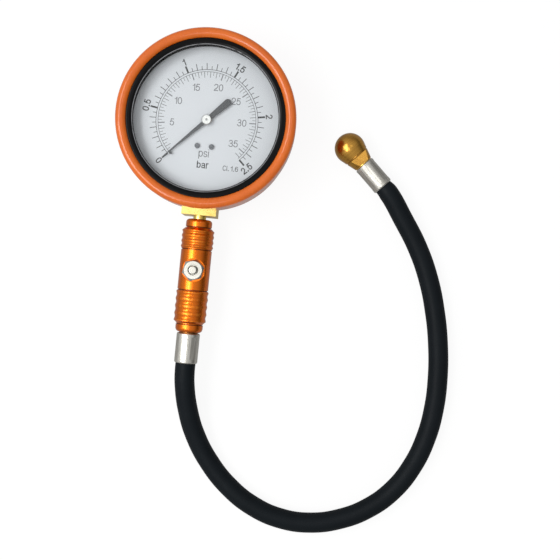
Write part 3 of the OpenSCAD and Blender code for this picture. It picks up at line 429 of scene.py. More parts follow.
@dataclass(frozen=True)
class TurnedMetal(TwoTone):
    """Metal off the lathe: fine rings round its axis, worn crests and painted shade in its
    grooves.
    """

    stain: Rgb
    roughness: float
    placing: Placing = DIAL_AXIS
    ring_pitch: float = 0.16 * MM
    ring_edge: Pair = (0.35, 0.7)
    ring_dulls: float = 0.14
    ring_depth: float = 0.006 * MM
    stain_size: float = 7 * MM
    stain_edge: Pair = (0.5, 0.8)
    stain_share: float = 0.55
    mark_size: float = 1.4 * MM
    mark_lay: Triple = (1.0, 1.0, 0.2)
    mark_dulls: float = 0.12
    crest: float = 0.0
    crest_band: float = 0.16 * MM
    worn: Rgb = (225, 205, 170)
    worn_edge: Pair = (0.42, 0.62)
    worn_share: float = 0.5
    worn_dulls: float = 0.1
    grooves: tuple[float, ...] = ()
    groove_half: float = 0.5 * MM
    # painted shade in the grooves: its dark colour, how much of it is laid on and how it changes
    # the roughness
    groove_shade: Rgb = (96, 38, 10)
    groove_shade_share: float = 0.8
    groove_dulls: float = 0.25
    coat: float = 0.0
    coat_roughness: float = 0.08

    def shade(self, graph: Graph) -> Wire:
        """Builds the turned metal's shader.

        Args:
            graph: The material's graph.

        Returns:
            The shader's output.
        """
        at = graph.place(self.placing)
        x, y, along = graph.split(at)
        radius = (x * x + y * y) ** 0.5
        round_axis = graph.node("ShaderNodeCombineXYZ", inputs={0: radius, 1: along})
        rings = graph.noise(round_axis, self.ring_pitch, Layers.FINE)
        stains = graph.noise(at, self.stain_size, Layers.RICH)
        marks = graph.noise(at, self.mark_size, Layers.MILD, self.mark_lay)
        colour = graph.blend(graph.rise(rings, *self.ring_edge), self.colour, self.second)
        stained = graph.rise(stains, *self.stain_edge) * self.stain_share
        colour = graph.blend(stained, colour, self.stain)
        rough = self.roughness + graph.sway(rings, self.ring_dulls)
        rough = rough + graph.sway(marks, self.mark_dulls)
        if self.crest:
            patchy = graph.rise(radius, self.crest - self.crest_band, self.crest)
            patchy = patchy * graph.rise(marks, *self.worn_edge)
            colour = graph.blend(patchy * self.worn_share, colour, self.worn)
            rough = rough + patchy * self.worn_dulls
        # painted shade: each groove is darkened in colour where shade falls
        for groove in self.grooves:
            inside = graph.band(along, groove, self.groove_half / 2, self.groove_half)
            colour = graph.blend(inside * self.groove_shade_share, colour, self.groove_shade)
            rough = rough + inside * self.groove_dulls
        return graph.principled(colour, rough, {
            "Metallic": 1.0,
            "Coat Weight": self.coat,
            "Coat Roughness": self.coat_roughness,
            "Normal": graph.relief(rings, self.ring_depth),
        })


@dataclass(frozen=True)
class DrawnMetal(TwoTone):
    """Drawn tube or bar: streaks along its axis, with scuffs across them."""

    roughness: float
    placing: Placing = DIAL_AXIS
    pitch: float = 0.5 * MM
    streak_lay: Triple = (1.0, 1.0, 0.03)
    streak_edge: Pair = (0.38, 0.66)
    streak_dulls: float = 0.22
    streak_height: float = 0.6
    scuff_size: float = 0.9 * MM
    scuff_lay: Triple = (0.4, 0.4, 1.0)
    scuff_edge: Pair = (0.55, 0.75)
    scuff_dulls: float = 0.12
    dent_size: float = 3.5 * MM
    dent_height: float = 0.8
    depth: float = 0.008 * MM

    def shade(self, graph: Graph) -> Wire:
        """Builds the drawn metal's shader.

        Args:
            graph: The material's graph.

        Returns:
            The shader's output.
        """
        at = graph.place(self.placing)
        streaks = graph.noise(at, self.pitch, Layers.STREAKY, self.streak_lay)
        scuffs = graph.noise(at, self.scuff_size, Layers.FINE, self.scuff_lay)
        dents = graph.noise(at, self.dent_size)
        scuffed = graph.rise(scuffs, *self.scuff_edge) * self.scuff_dulls
        height = streaks * self.streak_height + dents * self.dent_height
        return graph.principled(
            graph.blend(graph.rise(streaks, *self.streak_edge), self.colour, self.second),
            self.roughness + graph.sway(streaks, self.streak_dulls) + scuffed,
            {"Metallic": 1.0, "Normal": graph.relief(height, self.depth)},
        )


@dataclass(frozen=True)
class MilledMetal(TwoTone):
    """Milled or rolled faces: fine parallel tool marks and a dull bloom."""

    roughness: float
    lay: Triple = (1.0, 0.06, 1.0)
    pitch: float = 0.22 * MM
    cut_dulls: float = 0.2
    bloom_size: float = 5 * MM
    bloom_edge: Pair = (0.4, 0.75)
    bloom_dulls: float = 0.15
    speck_pitch: float = 1.9 * MM
    speck_size: float = 0.12
    speck_share: float = 0.3
    depth: float = 0.006 * MM

    def shade(self, graph: Graph) -> Wire:
        """Builds the milled metal's shader.

        Args:
            graph: The material's graph.

        Returns:
            The shader's output.
        """
        at = graph.here()
        cuts = graph.noise(at, self.pitch, Layers.FINE, self.lay)
        bloom = graph.noise(at, self.bloom_size, Layers.RICH)
        specks = graph.specks(at, self.speck_pitch, self.speck_size)
        colour = graph.blend(graph.rise(bloom, *self.bloom_edge), self.colour, self.second)
        rough = self.roughness + graph.sway(cuts, self.cut_dulls)
        return graph.principled(
            graph.blend(specks * self.speck_share, colour, self.second),
            rough + graph.sway(bloom, self.bloom_dulls),
            {"Metallic": 1.0, "Normal": graph.relief(cuts, self.depth)},
        )


@dataclass(frozen=True)
class Paint(TwoTone):
    """Stoved paint: a slight orange peel, tiny flecks and, on a rim, a broken line of painted
    highlight.
    """

    roughness: float
    coat: float = 0.0
    coat_roughness: float = 0.06
    peel: float = 1.2 * MM
    peel_depth: float = 0.01 * MM
    haze_size: float = 14 * MM
    haze_edge: Pair = (0.4, 0.9)
    haze_share: float = 0.3
    haze_dulls: float = 0.14
    fleck_pitch: float = 3.1 * MM
    fleck_size: float = 0.07
    fleck_share: float = 0.35
    specular: float = 0.5
    # a grey ring of painted highlight: its radius, its half widths, the noise that breaks it up
    # and its grey
    highlight_line_r: float = 0.0
    highlight_line_half: Pair = (0.12 * MM, 0.34 * MM)
    line_break_size: float = 4 * MM
    line_break_edge: Pair = (0.2, 0.5)
    highlight_grey: Rgb = (128, 129, 132)

    def shade(self, graph: Graph) -> Wire:
        """Builds the paint's shader.

        Args:
            graph: The material's graph.

        Returns:
            The shader's output.
        """
        at = graph.here()
        haze = graph.noise(at, self.haze_size, Layers.MILD)
        hazed = graph.rise(haze, *self.haze_edge) * self.haze_share
        flecks = graph.specks(at, self.fleck_pitch, self.fleck_size) + hazed
        colour = graph.blend(flecks * self.fleck_share, self.colour, self.second)
        # painted highlight: a thin grey ring on the rim, broken up by noise, stands in for the
        # light caught there
        if self.highlight_line_r:
            x, y, _ = graph.split(at)
            rim = graph.band((x * x + y * y) ** 0.5, self.highlight_line_r, *self.highlight_line_half)
            patchy = graph.noise(at, self.line_break_size, Layers.MILD)
            colour = graph.blend(rim * graph.rise(patchy, *self.line_break_edge), colour, self.highlight_grey)
        return graph.principled(colour, self.roughness + graph.sway(haze, self.haze_dulls), {
            "Specular IOR Level": self.specular,
            "Coat Weight": self.coat,
            "Coat Roughness": self.coat_roughness,
            "Normal": graph.relief(graph.noise(at, self.peel), self.peel_depth),
        })


@dataclass(frozen=True)
class Grained(TwoTone):
    """A dull surface with one fine pattern, such as printed ink or pressed fibre."""

    roughness: float
    size: float
    depth: float
    layers: Layers = Layers.FINE
    lay: Triple | None = None
    grain_edge: Pair = (0.5, 0.8)
    grain_share: float = 0.5
    grain_dulls: float = 0.2

    def shade(self, graph: Graph) -> Wire:
        """Builds the grained shader.

        Args:
            graph: The material's graph.

        Returns:
            The shader's output.
        """
        grain = graph.noise(graph.here(), self.size, self.layers, self.lay)
        shown = graph.rise(grain, *self.grain_edge) * self.grain_share
        return graph.principled(
            graph.blend(shown, self.colour, self.second),
            self.roughness + graph.sway(grain, self.grain_dulls),
            {"Normal": graph.relief(grain, self.depth)},
        )


@dataclass(frozen=True)
class WindowGlass(Finish):
    """Flat glass: clear, with the pale reflection that its angle gives and faint smears."""

    name: str = "flat_glass"
    body: tuple[float, ...] = (0.985, 0.992, 0.99, 1.0)
    straight_on: float = 0.034
    steepness: float = 5.0
    shine: float = 0.75
    roughness: float = 0.015
    smear_size: float = 11 * MM
    smear_lay: Triple = (1.0, 0.3, 1.0)
    smear_edge: Pair = (0.5, 0.8)
    smear_dulls: float = 0.05

    def shade(self, graph: Graph) -> Wire:
        """Builds the glass's shader.

        Args:
            graph: The material's graph.

        Returns:
            The shader's output.
        """
        smears = graph.noise(graph.here(), self.smear_size, Layers.MILD, self.smear_lay)
        clear = graph.node("ShaderNodeBsdfTransparent", inputs={"Color": self.body})
        smeared = graph.rise(smears, *self.smear_edge) * self.smear_dulls
        gloss = graph.principled(WHITE, self.roughness + smeared, {"Metallic": 1.0})
        facing = graph.node("ShaderNodeLayerWeight", output="Facing")
        glance = facing**self.steepness * (1 - self.straight_on) + self.straight_on
        return graph.mix(glance * self.shine, clear, gloss)


@dataclass(frozen=True)
class FloorWhite(TwoTone):
    """The floor: white to the camera and to metal, with the object's shadow kept on it."""

    cloud: float = 0.12
    roughness: float = 0.9
    glow: float = 1.05
    glow_share: float = 0.86
    mirrored_glow: float = 0.35
    mirrored_share: float = 0.7

    def shade(self, graph: Graph) -> Wire:
        """Builds the floor's shader.

        Args:
            graph: The material's graph.

        Returns:
            The shader's output.
        """
        clouds = graph.noise(graph.here(), self.cloud)
        plain = graph.principled(
            graph.blend(clouds, self.colour, self.second), self.roughness
        )
        white, glossy = graph.rays()
        strength = white * self.glow + glossy * self.mirrored_glow
        light = graph.node("ShaderNodeEmission", inputs={"Color": WHITE, "Strength": strength})
        return graph.mix(white * self.glow_share + glossy * self.mirrored_share, plain, light)


FLOOR = FloorWhite("floor_white", (226, 226, 226), (231, 231, 230))
BOOT_RUBBER = Rubber(
    "boot_rubber", (217, 103, 17), (206, 94, 13), (246, 160, 104), 0.28, 0.7, gloss=0.06,
    specular=0.2,
)
HOSE_RUBBER = Rubber(
    "hose_rubber", (14, 19, 23), (18, 23, 27), (64, 66, 68), 0.50, 0.0,
    grain=0.45 * MM, grain_depth=0.02 * MM, specular=0.09,
)
SEAL_RUBBER = Rubber("seal_rubber", (24, 24, 25), (34, 33, 32), (90, 88, 84), 0.55, 0.0)
CASE_STEEL = Paint("stoved_black", (30, 31, 33), (60, 60, 62), 0.42, 0.1)
BEZEL_BLACK = Paint(
    "gloss_black", (5, 5, 6), (22, 22, 24), 0.22, peel=2.4 * MM, specular=0.1,
    # the bezel's bevel gets a ring of painted highlight at this radius
    peel_depth=0.004 * MM, highlight_line_r=45.75 * MM,
)
DIAL_WHITE = Paint(
    "dial_white", (214, 216, 221), (204, 207, 214), 0.48, peel=0.6 * MM,
    peel_depth=0.004 * MM, fleck_share=0.3,
)
POINTER_BLACK = Paint("pointer_black", (62, 64, 68), (92, 94, 98), 0.36, 0.15)
BAR_INK = Grained("bar_ink", (24, 25, 28), (56, 58, 62), 0.5, 0.5 * MM, 0.004 * MM)
PSI_INK = replace(BAR_INK, name="psi_ink", colour=(104, 105, 109), second=(136, 138, 142))
GLASS = WindowGlass()
STEEL = TurnedMetal("turned_steel", (178, 178, 177), (150, 150, 150), (118, 116, 112), 0.28)
SCREW_GREY = TurnedMetal("screw_grey", (118, 120, 124), (92, 94, 98), (70, 72, 76), 0.32)
BRASS = TurnedMetal("turned_brass", (218, 178, 92), (196, 152, 70), (150, 108, 52), 0.26)
VALVE_BRASS = replace(BRASS, name="valve_brass", placing=MOUTH_AXIS)
HUB_SILVER = TurnedMetal("hub_silver", (238, 238, 236), (214, 214, 212), (190, 188, 184), 0.30)
PLATE_BRASS = MilledMetal("plate_brass", (222, 184, 100), (188, 146, 72), 0.30)
SHANK_BRASS = MilledMetal(
    "shank_brass", (238, 216, 128), (222, 186, 96), 0.28, lay=(0.06, 1.0, 1.0)
)
# painted shade: the hose fitting's brass is darkened for the shade in the gap between the handle
# and its ferrule
SHADED_BRASS = TurnedMetal(
    "shaded_brass", (142, 98, 50), (118, 78, 40), (86, 54, 30), 0.34, STEM_AXIS
)
TUBE_BRONZE = DrawnMetal("tube_bronze", (204, 150, 92), (168, 112, 66), 0.30)
HAIR_STEEL = DrawnMetal("blued_steel", (96, 112, 150), (140, 150, 176), 0.25, pitch=0.2 * MM)
ANODISED = TurnedMetal(
    "anodised_orange", (224, 114, 16), (210, 98, 12), (192, 80, 10), 0.25, STEM_AXIS,
    ring_pitch=0.22 * MM, crest=10.32 * MM, worn=(236, 140, 44), coat=0.3,
    # the handle's grooves, which get painted shade
    grooves=(66.75 * MM, 81.15 * MM, 107.35 * MM, 129.35 * MM),
)
NICKEL = TurnedMetal(
    "nickel", (192, 190, 182), (172, 170, 161), (148, 142, 130), 0.24, BLEED_AXIS,
    ring_pitch=0.3 * MM,
)
HANDLE_FERRULE = DrawnMetal(
    "handle_ferrule_steel", (208, 206, 199), (162, 159, 150), 0.36, STEM_AXIS
)
CHUCK_FERRULE = replace(HANDLE_FERRULE, name="chuck_ferrule_steel", placing=CHUCK_AXIS)
BALL_BRASS = TurnedMetal(
    "ball_brass", (190, 144, 66), (164, 116, 48), (128, 80, 34), 0.24, CHUCK_AXIS,
    ring_pitch=0.3 * MM,
)
WASHER_FIBRE = Grained(
    "washer_fibre", (120, 60, 34), (156, 88, 52), 0.75, 0.6 * MM, 0.04 * MM, Layers.COARSE,
    lay=(1.0, 4.0, 0.3), grain_edge=(0.35, 0.7), grain_share=1.0,
)


# ---- modelling ----


class Slot(Enum):
    """The names of some of the record's material slots."""

    BOOT = "orange_rubber"
    HOSE = "hose_rubber"
    PRINT = "dark_paint"
    TUBE = "bronze"
    SPRING = "steel"


class Workpiece:
    """A mesh under work: each method is one step of modelling by hand."""

    def __init__(self, obj: bpy.types.Object, name: str) -> None:
        """Takes up an object.

        Args:
            obj: The object to work on.
            name: The piece's name.
        """
        self.obj = obj
        obj.name = name
        obj.data.name = name

    @staticmethod
    def lone(obj: bpy.types.Object) -> None:
        """Selects one object alone and makes it the active one.

        Args:
            obj: The object.
        """
        bpy.ops.object.select_all(action="DESELECT")
        obj.select_set(True)
        bpy.context.view_layer.objects.active = obj

    @classmethod
    def plane(cls, name: str, size: float = MM) -> "Workpiece":
        """Adds a square in the XY plane to start from.

        Args:
            name: The piece's name.
            size: The square's side in metres.

        Returns:
            The piece.
        """
        bpy.ops.object.select_all(action="DESELECT")
        bpy.ops.mesh.primitive_plane_add(size=size)
        return cls(bpy.context.object, name)

    @classmethod
    def line(cls, name: str, points: Sequence[Vector]) -> "Workpiece":
        """Draws a closed outline, one extruded vertex at a time.

        Args:
            name: The piece's name.
            points: The outline's corners in order.

        Returns:
            The piece, whose outline isn't filled yet.
        """
        piece = cls.plane(name)
        with piece.editing():
            bpy.ops.mesh.select_mode(type="VERT")
            bpy.ops.mesh.merge(type="CENTER")
            bpy.ops.transform.translate(value=points[0])
            for here, there in zip(points, points[1:]):
                bpy.ops.mesh.extrude_region_move(TRANSFORM_OT_translate={"value": there - here})
            bpy.ops.mesh.select_all(action="SELECT")
            mesh = bmesh.from_edit_mesh(piece.obj.data)
            mesh.verts.ensure_lookup_table()
            for vert in mesh.verts:
                vert.select = vert.index in (0, len(mesh.verts) - 1)
            mesh.select_flush_mode()
            bmesh.update_edit_mesh(piece.obj.data)
            bpy.ops.mesh.edge_face_add()
        return piece

    @classmethod
    def of_node(cls, name: str, node: str) -> "Workpiece":
        """Copies a CAD node that bends with a joint into a piece of its own, and hides the node.

        Args:
            name: The piece's name.
            node: The CAD node, which the piece stands for.

        Returns:
            The piece, its loose triangles merged.
        """
        obj = bpy.data.objects.new(name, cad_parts[node].data.copy())
        bpy.context.scene.collection.objects.link(obj)
        piece = cls(obj, name)
        with piece.editing():
            bpy.ops.mesh.remove_doubles(threshold=MERGE_WITHIN)
        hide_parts(node)
        return piece

    @classmethod
    def joined(cls, name: str, parts: Sequence[bpy.types.Object]) -> "Workpiece":
        """Joins objects into one piece.

        Args:
            name: The piece's name.
            parts: The objects, one or more.

        Returns:
            The piece.
        """
        piece = cls(parts[0], name)
        if len(parts) > 1:
            cls.lone(piece.obj)
            for part in parts[1:]:
                part.select_set(True)
            bpy.ops.object.join()
        return piece

    @contextmanager
    def editing(self) -> Iterator[None]:
        """Opens the piece in edit mode with all of it selected."""
        self.lone(self.obj)
        bpy.ops.object.mode_set(mode="EDIT")
        bpy.ops.mesh.select_all(action="SELECT")
        yield
        bpy.ops.object.mode_set(mode="OBJECT")

    def spin(self, angle: float, steps: int) -> None:
        """Turns the outline round the Z axis into a closed body.

        Args:
            angle: How far, in radians.
            steps: In how many steps.
        """
        whole = math.isclose(angle, 2 * math.pi)
        with self.editing():
            if not whole:
                bpy.ops.mesh.edge_face_add()
            bpy.ops.mesh.spin(
                steps=steps, angle=angle, center=(0, 0, 0), axis=(0, 0, 1),
                use_auto_merge=whole,
            )
            self.close()

    @staticmethod
    def close() -> None:
        """Merges doubles, fills what is open and turns the faces outwards, in edit mode."""
        bpy.ops.mesh.select_all(action="SELECT")
        bpy.ops.mesh.remove_doubles(threshold=MERGE_WITHIN)
        bpy.ops.mesh.select_all(action="DESELECT")
        bpy.ops.mesh.select_mode(type="EDGE")
        bpy.ops.mesh.select_non_manifold(
            use_multi_face=False, use_non_contiguous=False, use_verts=False
        )
        bpy.ops.mesh.edge_face_add()
        bpy.ops.mesh.select_all(action="SELECT")
        bpy.ops.mesh.normals_make_consistent(inside=False)

    def copies(self, places: Sequence[Matrix]) -> list[bpy.types.Object]:
        """Makes copies, each with its own mesh and its place in that.

        Args:
            places: Where they go.

        Returns:
            The copies in order.
        """
        made = []
        for place in places:
            copy = self.obj.copy()
            copy.data = self.obj.data.copy()
            copy.data.transform(place)
            bpy.context.scene.collection.objects.link(copy)
            made.append(copy)
        return made

    def finish(self, slot: Slot, finish: Finish, body: str = "") -> None:
        """Shades the piece, gives it its finish and lets it ride.

        Args:
            slot: The record's material slot; not used.
            finish: Its finish.
            body: The CAD body that it moves with, where it moves with one.
        """
        self.lone(self.obj)
        bpy.ops.object.shade_smooth_by_angle(angle=SHARP_ABOVE)
        self.obj.data.materials.clear()
        self.obj.data.materials.append(finish.material())
        if body:
            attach(self.obj, body)
        LOG.info("%s: %d faces in %s", self.obj.name, len(self.obj.data.polygons), finish.name)


def arc(centre: Pair, radius: float, start: float, end: float, steps: int) -> list[Vector]:
    """Gives points on an arc in the XZ half plane.

    Args:
        centre: Its centre's X and Z in millimetres.
        radius: Its radius in millimetres.
        start: The angle where it starts, in degrees from +X towards +Z.
        end: The angle where it ends.
        steps: Into how many parts it is cut.

    Returns:
        The points, in metres.
    """
    angles = [math.radians(start + (end - start) * i / steps) for i in range(steps + 1)]
    return [
        mm(centre[0] + radius * math.cos(a), 0, centre[1] + radius * math.sin(a))
        for a in angles
    ]


def round_curve(name: str, radius: float, rounds: int) -> bpy.types.Object:
    """Starts a round curve with closed ends.

    Args:
        name: Its name.
        radius: Its radius in metres.
        rounds: How finely its section is rounded.

    Returns:
        The object, whose curve has no spline yet.
    """
    data = bpy.data.curves.new(name, "CURVE")
    data.dimensions = "3D"
    data.bevel_depth = radius
    data.bevel_resolution = rounds
    data.use_fill_caps = True
    obj = bpy.data.objects.new(name, data)
    bpy.context.scene.collection.objects.link(obj)
    return obj


# ---- studio ----


@dataclass
class Studio:
    """The camera, the lamps, the pale floor and the white surroundings.

    Each box lamp has a name, a place, a width and height in metres and a power in watts.
    They hang clear of what the window mirrors.
    """

    camera_at: Triple = (0.0555, -0.0953, 0.580)
    roll: float = math.radians(5.6)
    lens: float = 55.93
    near: float = 0.01
    aim: Triple = (0.03, -0.06, 0.0)
    boxes: tuple[tuple[str, Triple, Pair, float], ...] = (
        ("key_box", (-0.36, -0.12, 0.78), (0.8, 0.2), 3.3),
        ("near_strip", (-0.085, -0.2, 0.78), (0.35, 0.15), 0.4),
        ("far_strip", (-0.62, -0.1, 0.72), (0.36, 0.26), 1.3),
        ("chuck_box", (0.16, 0.13, 0.78), (0.12, 0.12), 0.08),
    )
    ambient: float = 0.56
    sky_band: Pair = (0.1, 0.95)
    sky_base: float = 0.42
    sky_lift: float = 0.5
    sky_lean: float = 0.3
    floor_size: float = 8.0
    floor_cuts: int = 3

    def camera(self) -> None:
        """Hangs the camera above, so that it looks straight down and a little turned."""
        data = bpy.data.cameras.new("camera")
        data.lens = self.lens
        data.clip_start = self.near
        camera = bpy.data.objects.new("camera", data)
        camera.location = self.camera_at
        camera.rotation_euler = (0.0, 0.0, self.roll)
        bpy.context.scene.collection.objects.link(camera)
        bpy.context.scene.camera = camera

    def lamps(self) -> None:
        """Hangs the box lamps, each turned towards the gauge."""
        for name, at, size, power in self.boxes:
            data = bpy.data.lights.new(name, "AREA")
            data.shape = "RECTANGLE"
            data.size, data.size_y = size
            data.energy = power
            lamp = bpy.data.objects.new(name, data)
            lamp.location = at
            towards = Vector(self.aim) - Vector(at)
            lamp.rotation_euler = towards.to_track_quat("-Z", "Y").to_euler()
            bpy.context.scene.collection.objects.link(lamp)

    def surroundings(self) -> None:
        """Makes the world white to the camera and softly graded to polished metal."""
        world = bpy.data.worlds.new("surroundings")
        bpy.context.scene.world = world
        graph = Graph(world)
        white, glossy = graph.rays()
        x, _, up = graph.split(graph.node("ShaderNodeTexCoord", output="Generated"))
        sky = graph.rise(up, *self.sky_band) * self.sky_lift + self.sky_base
        sky = sky - x * self.sky_lean
        shaded = glossy * sky + (1 - glossy) * self.ambient
        inputs = {"Color": WHITE, "Strength": white + (1 - white) * shaded}
        graph.end(graph.node("ShaderNodeBackground", inputs=inputs), "ShaderNodeOutputWorld")

    def floor(self) -> None:
        """Lays the floor."""
        floor = Workpiece.plane("floor", self.floor_size)
        with floor.editing():
            bpy.ops.mesh.subdivide(number_cuts=self.floor_cuts)
        floor.obj.data.materials.append(FLOOR.material())

    def build(self) -> None:
        """Sets up the studio, camera first."""
        bpy.context.scene.view_settings.view_transform = "Standard"
        self.camera()
        self.lamps()
        self.surroundings()
        self.floor()


# ---- the object ----


@dataclass
class Hose:
    """The rubber hose from the handle's ferrule to the chuck's, which squeezes its end.

    The route is in millimetres and the other sizes are in metres.
    """

    diameter: float = 0.013
    squeezed: float = 0.0117
    squeezed_points: int = 2
    fineness: int = 10
    length: float = 0.4645
    exit: Triple = (0.0, -0.15435, 0.018)
    route: tuple[Triple, ...] = (
        (0, -136.15, 18), (0, -154.35, 18), (0, -159.35, 18), (0.6, -168, 17.2),
        (4.1, -185.7, 13), (10.3, -202.6, 8.6), (20.8, -219.3, 6.5), (35, -234, 6.5),
        (52, -245.2, 6.5), (71, -251.6, 6.5), (91, -252.5, 6.5), (110.5, -248, 6.5),
        (128, -239.2, 6.5), (143.2, -225.7, 6.5), (154.3, -208.6, 6.5), (161.2, -190, 6.5),
        (164.7, -170, 6.5), (165.2, -149, 6.5), (163.2, -127, 6.5), (159.1, -106, 6.5),
        (152.9, -85.5, 6.5), (143.7, -65.5, 6.8), (131.8, -47.2, 8.4),
        (120.41, -31.30, 10), (116.78, -27.85, 10), (103.58, -15.33, 10),
    )

    def build(self) -> None:
        hose = round_curve("rubber_hose", self.diameter / 2, self.fineness)
        hose.data.resolution_u = self.fineness
        spline = hose.data.splines.new("BEZIER")
        spline.bezier_points.add(len(self.route) - 1)
        for point, at in zip(spline.bezier_points, self.route):
            point.co = mm(*at)
            point.handle_left_type = point.handle_right_type = "AUTO"
        for point in spline.bezier_points[-self.squeezed_points:]:
            point.radius = self.squeezed / self.diameter
        hose.data.materials.append(HOSE_RUBBER.material())
        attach(hose, "gauge")
        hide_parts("hose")
        LOG.info("rubber_hose: %.0f mm long", self.length / MM)


@dataclass
class Boot:
    """The rubber boot round the case, with its bead, its back edge and the shank's opening.

    Lengths are in millimetres and angles in degrees. The ring at the back has one shallow
    groove, and the side has a few.
    """

    hole_r: float = 42.0
    hole_edge: Pair = (0.4, 0.5)
    back_r: float = 54.35
    back_corner_r: float = 3.0
    back_corner_end: float = -4.0
    ring_groove: tuple[float, ...] = (7.2, 7.0, 5.0, 4.8)
    ring_depth: float = 0.35
    side_r: float = 56.15
    side_z: float = 27.65
    grip_z: tuple[float, ...] = (7.5, 11.0, 14.5)
    grip_half: float = 0.9
    grip_depth: float = 0.45
    bead_r: float = 3.35
    bead_z: float = 41.55
    bead_under: float = 1.4
    lip_z: float = 42.65
    lip_edge: float = 0.02
    bezel_r: float = 51.1
    crimp_z: float = 34.9
    case_r: float = 49.05
    case_corner_r: float = 3.05
    case_z: float = 2.45
    shank_half: float = 11.06
    shank_y: float = -51.0
    shank_depth: float = 16.0
    stem_z: float = 18.0
    corner_steps: int = 10
    bead_steps: int = 26
    inner_steps: int = 8
    turns: int = 240

    def outline(self) -> list[Vector]:
        """Draws the section, from the back opening round the outside to the inside.

        Returns:
            Its corners in order.
        """
        lip_end = math.degrees(math.asin((self.lip_z - self.bead_z) / self.bead_r))
        bead = (self.side_r - self.bead_r, self.bead_z)
        corner, inner = self.back_corner_r, self.case_corner_r
        a, b, c, d = (self.back_r - inset for inset in self.ring_groove)
        return [
            mm(self.hole_r, 0, self.hole_edge[1]),
            mm(self.hole_r + self.hole_edge[0], 0, 0.0),
            mm(a, 0, 0.0),
            mm(b, 0, self.ring_depth),
            mm(c, 0, self.ring_depth),
            mm(d, 0, 0.0),
            *arc(
                (self.back_r - corner, corner), corner, -90, self.back_corner_end,
                self.corner_steps,
            ),
            *(point for height in self.grip_z for point in self.grip(height)),
            mm(self.side_r, 0, self.side_z),
            mm(self.side_r, 0, self.bead_z - self.bead_under),
            *arc(bead, self.bead_r, 0, 180 - lip_end, self.bead_steps),
            mm(self.bezel_r, 0, self.lip_z - self.lip_edge),
            mm(self.bezel_r, 0, self.crimp_z),
            mm(self.case_r, 0, self.crimp_z),
            *arc((self.case_r - inner, self.case_z + inner), inner, 0, -90, self.inner_steps),
            mm(self.hole_r, 0, self.case_z),
        ]

    def side_at(self, height: float) -> float:
        """Gives the side's radius at a height, in millimetres."""
        share = (height - self.back_corner_r) / (self.side_z - self.back_corner_r)
        return self.back_r + (self.side_r - self.back_r) * share

    def grip(self, height: float, steps: int = 6) -> list[Vector]:
        """Draws a shallow round grip groove in the side.

        Args:
            height: The height of its middle.
            steps: Into how many parts it is cut.

        Returns:
            Its points, from below upwards.
        """
        points = []
        for i in range(steps + 1):
            across = -1 + 2 * i / steps
            z = height + across * self.grip_half
            dip = self.grip_depth * (0.5 + 0.5 * math.cos(math.pi * across))
            points.append(mm(self.side_at(z) - dip, 0, z))
        return points

    def shank_block(self) -> bpy.types.Object:
        """Makes the block that cuts the shank's opening.

        Returns:
            The block.
        """
        bpy.ops.object.select_all(action="DESELECT")
        bpy.ops.mesh.primitive_cube_add(
            size=1.0, location=mm(0, self.shank_y, self.stem_z),
            scale=mm(2 * self.shank_half, self.shank_depth, 2 * self.shank_half),
        )
        bpy.ops.object.transform_apply(location=True, rotation=True, scale=True)
        return bpy.context.object

    def build(self) -> None:
        """Spins the section, cuts the opening and dresses the boot."""
        boot = Workpiece.line("boot_moulding", self.outline())
        boot.spin(2 * math.pi, self.turns)
        block = self.shank_block()
        boot.lone(boot.obj)
        cut = boot.obj.modifiers.new("opening", "BOOLEAN")
        cut.operation, cut.solver, cut.object = "DIFFERENCE", "EXACT", block
        bpy.ops.object.modifier_apply(modifier=cut.name)
        bpy.data.objects.remove(block)
        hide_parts("rubber_boot")
        boot.finish(Slot.BOOT, BOOT_RUBBER, "gauge")


# ---- lettering ----

BOW_STEP = 12
BOW_SQUARENESS = 0.9
CLOSED_WITHIN = 0.001


def bow(centre: Pair, reach: Pair, start: float, end: float) -> list[Pair]:
    """Gives points on a rounded bow of a letter, a little squarer than an ellipse.

    Args:
        centre: Its middle, in letter heights.
        reach: Its half width and half height.
        start: The angle where it starts, in degrees.
        end: The angle where it ends.

    Returns:
        The points, about one for every step of the angle.
    """
    steps = round(abs(end - start) / BOW_STEP)
    points = []
    for i in range(steps + 1):
        angle = math.radians(start + (end - start) * i / steps)
        across, up = (
            math.copysign(abs(v) ** BOW_SQUARENESS, v) for v in (math.cos(angle), math.sin(angle))
        )
        points.append((centre[0] + reach[0] * across, centre[1] + reach[1] * up))
    return points


@dataclass(frozen=True)
class Glyph:
    """A letter as the centre lines of its pen strokes, in letter heights."""

    width: float
    strokes: tuple[Sequence[Pair], ...]


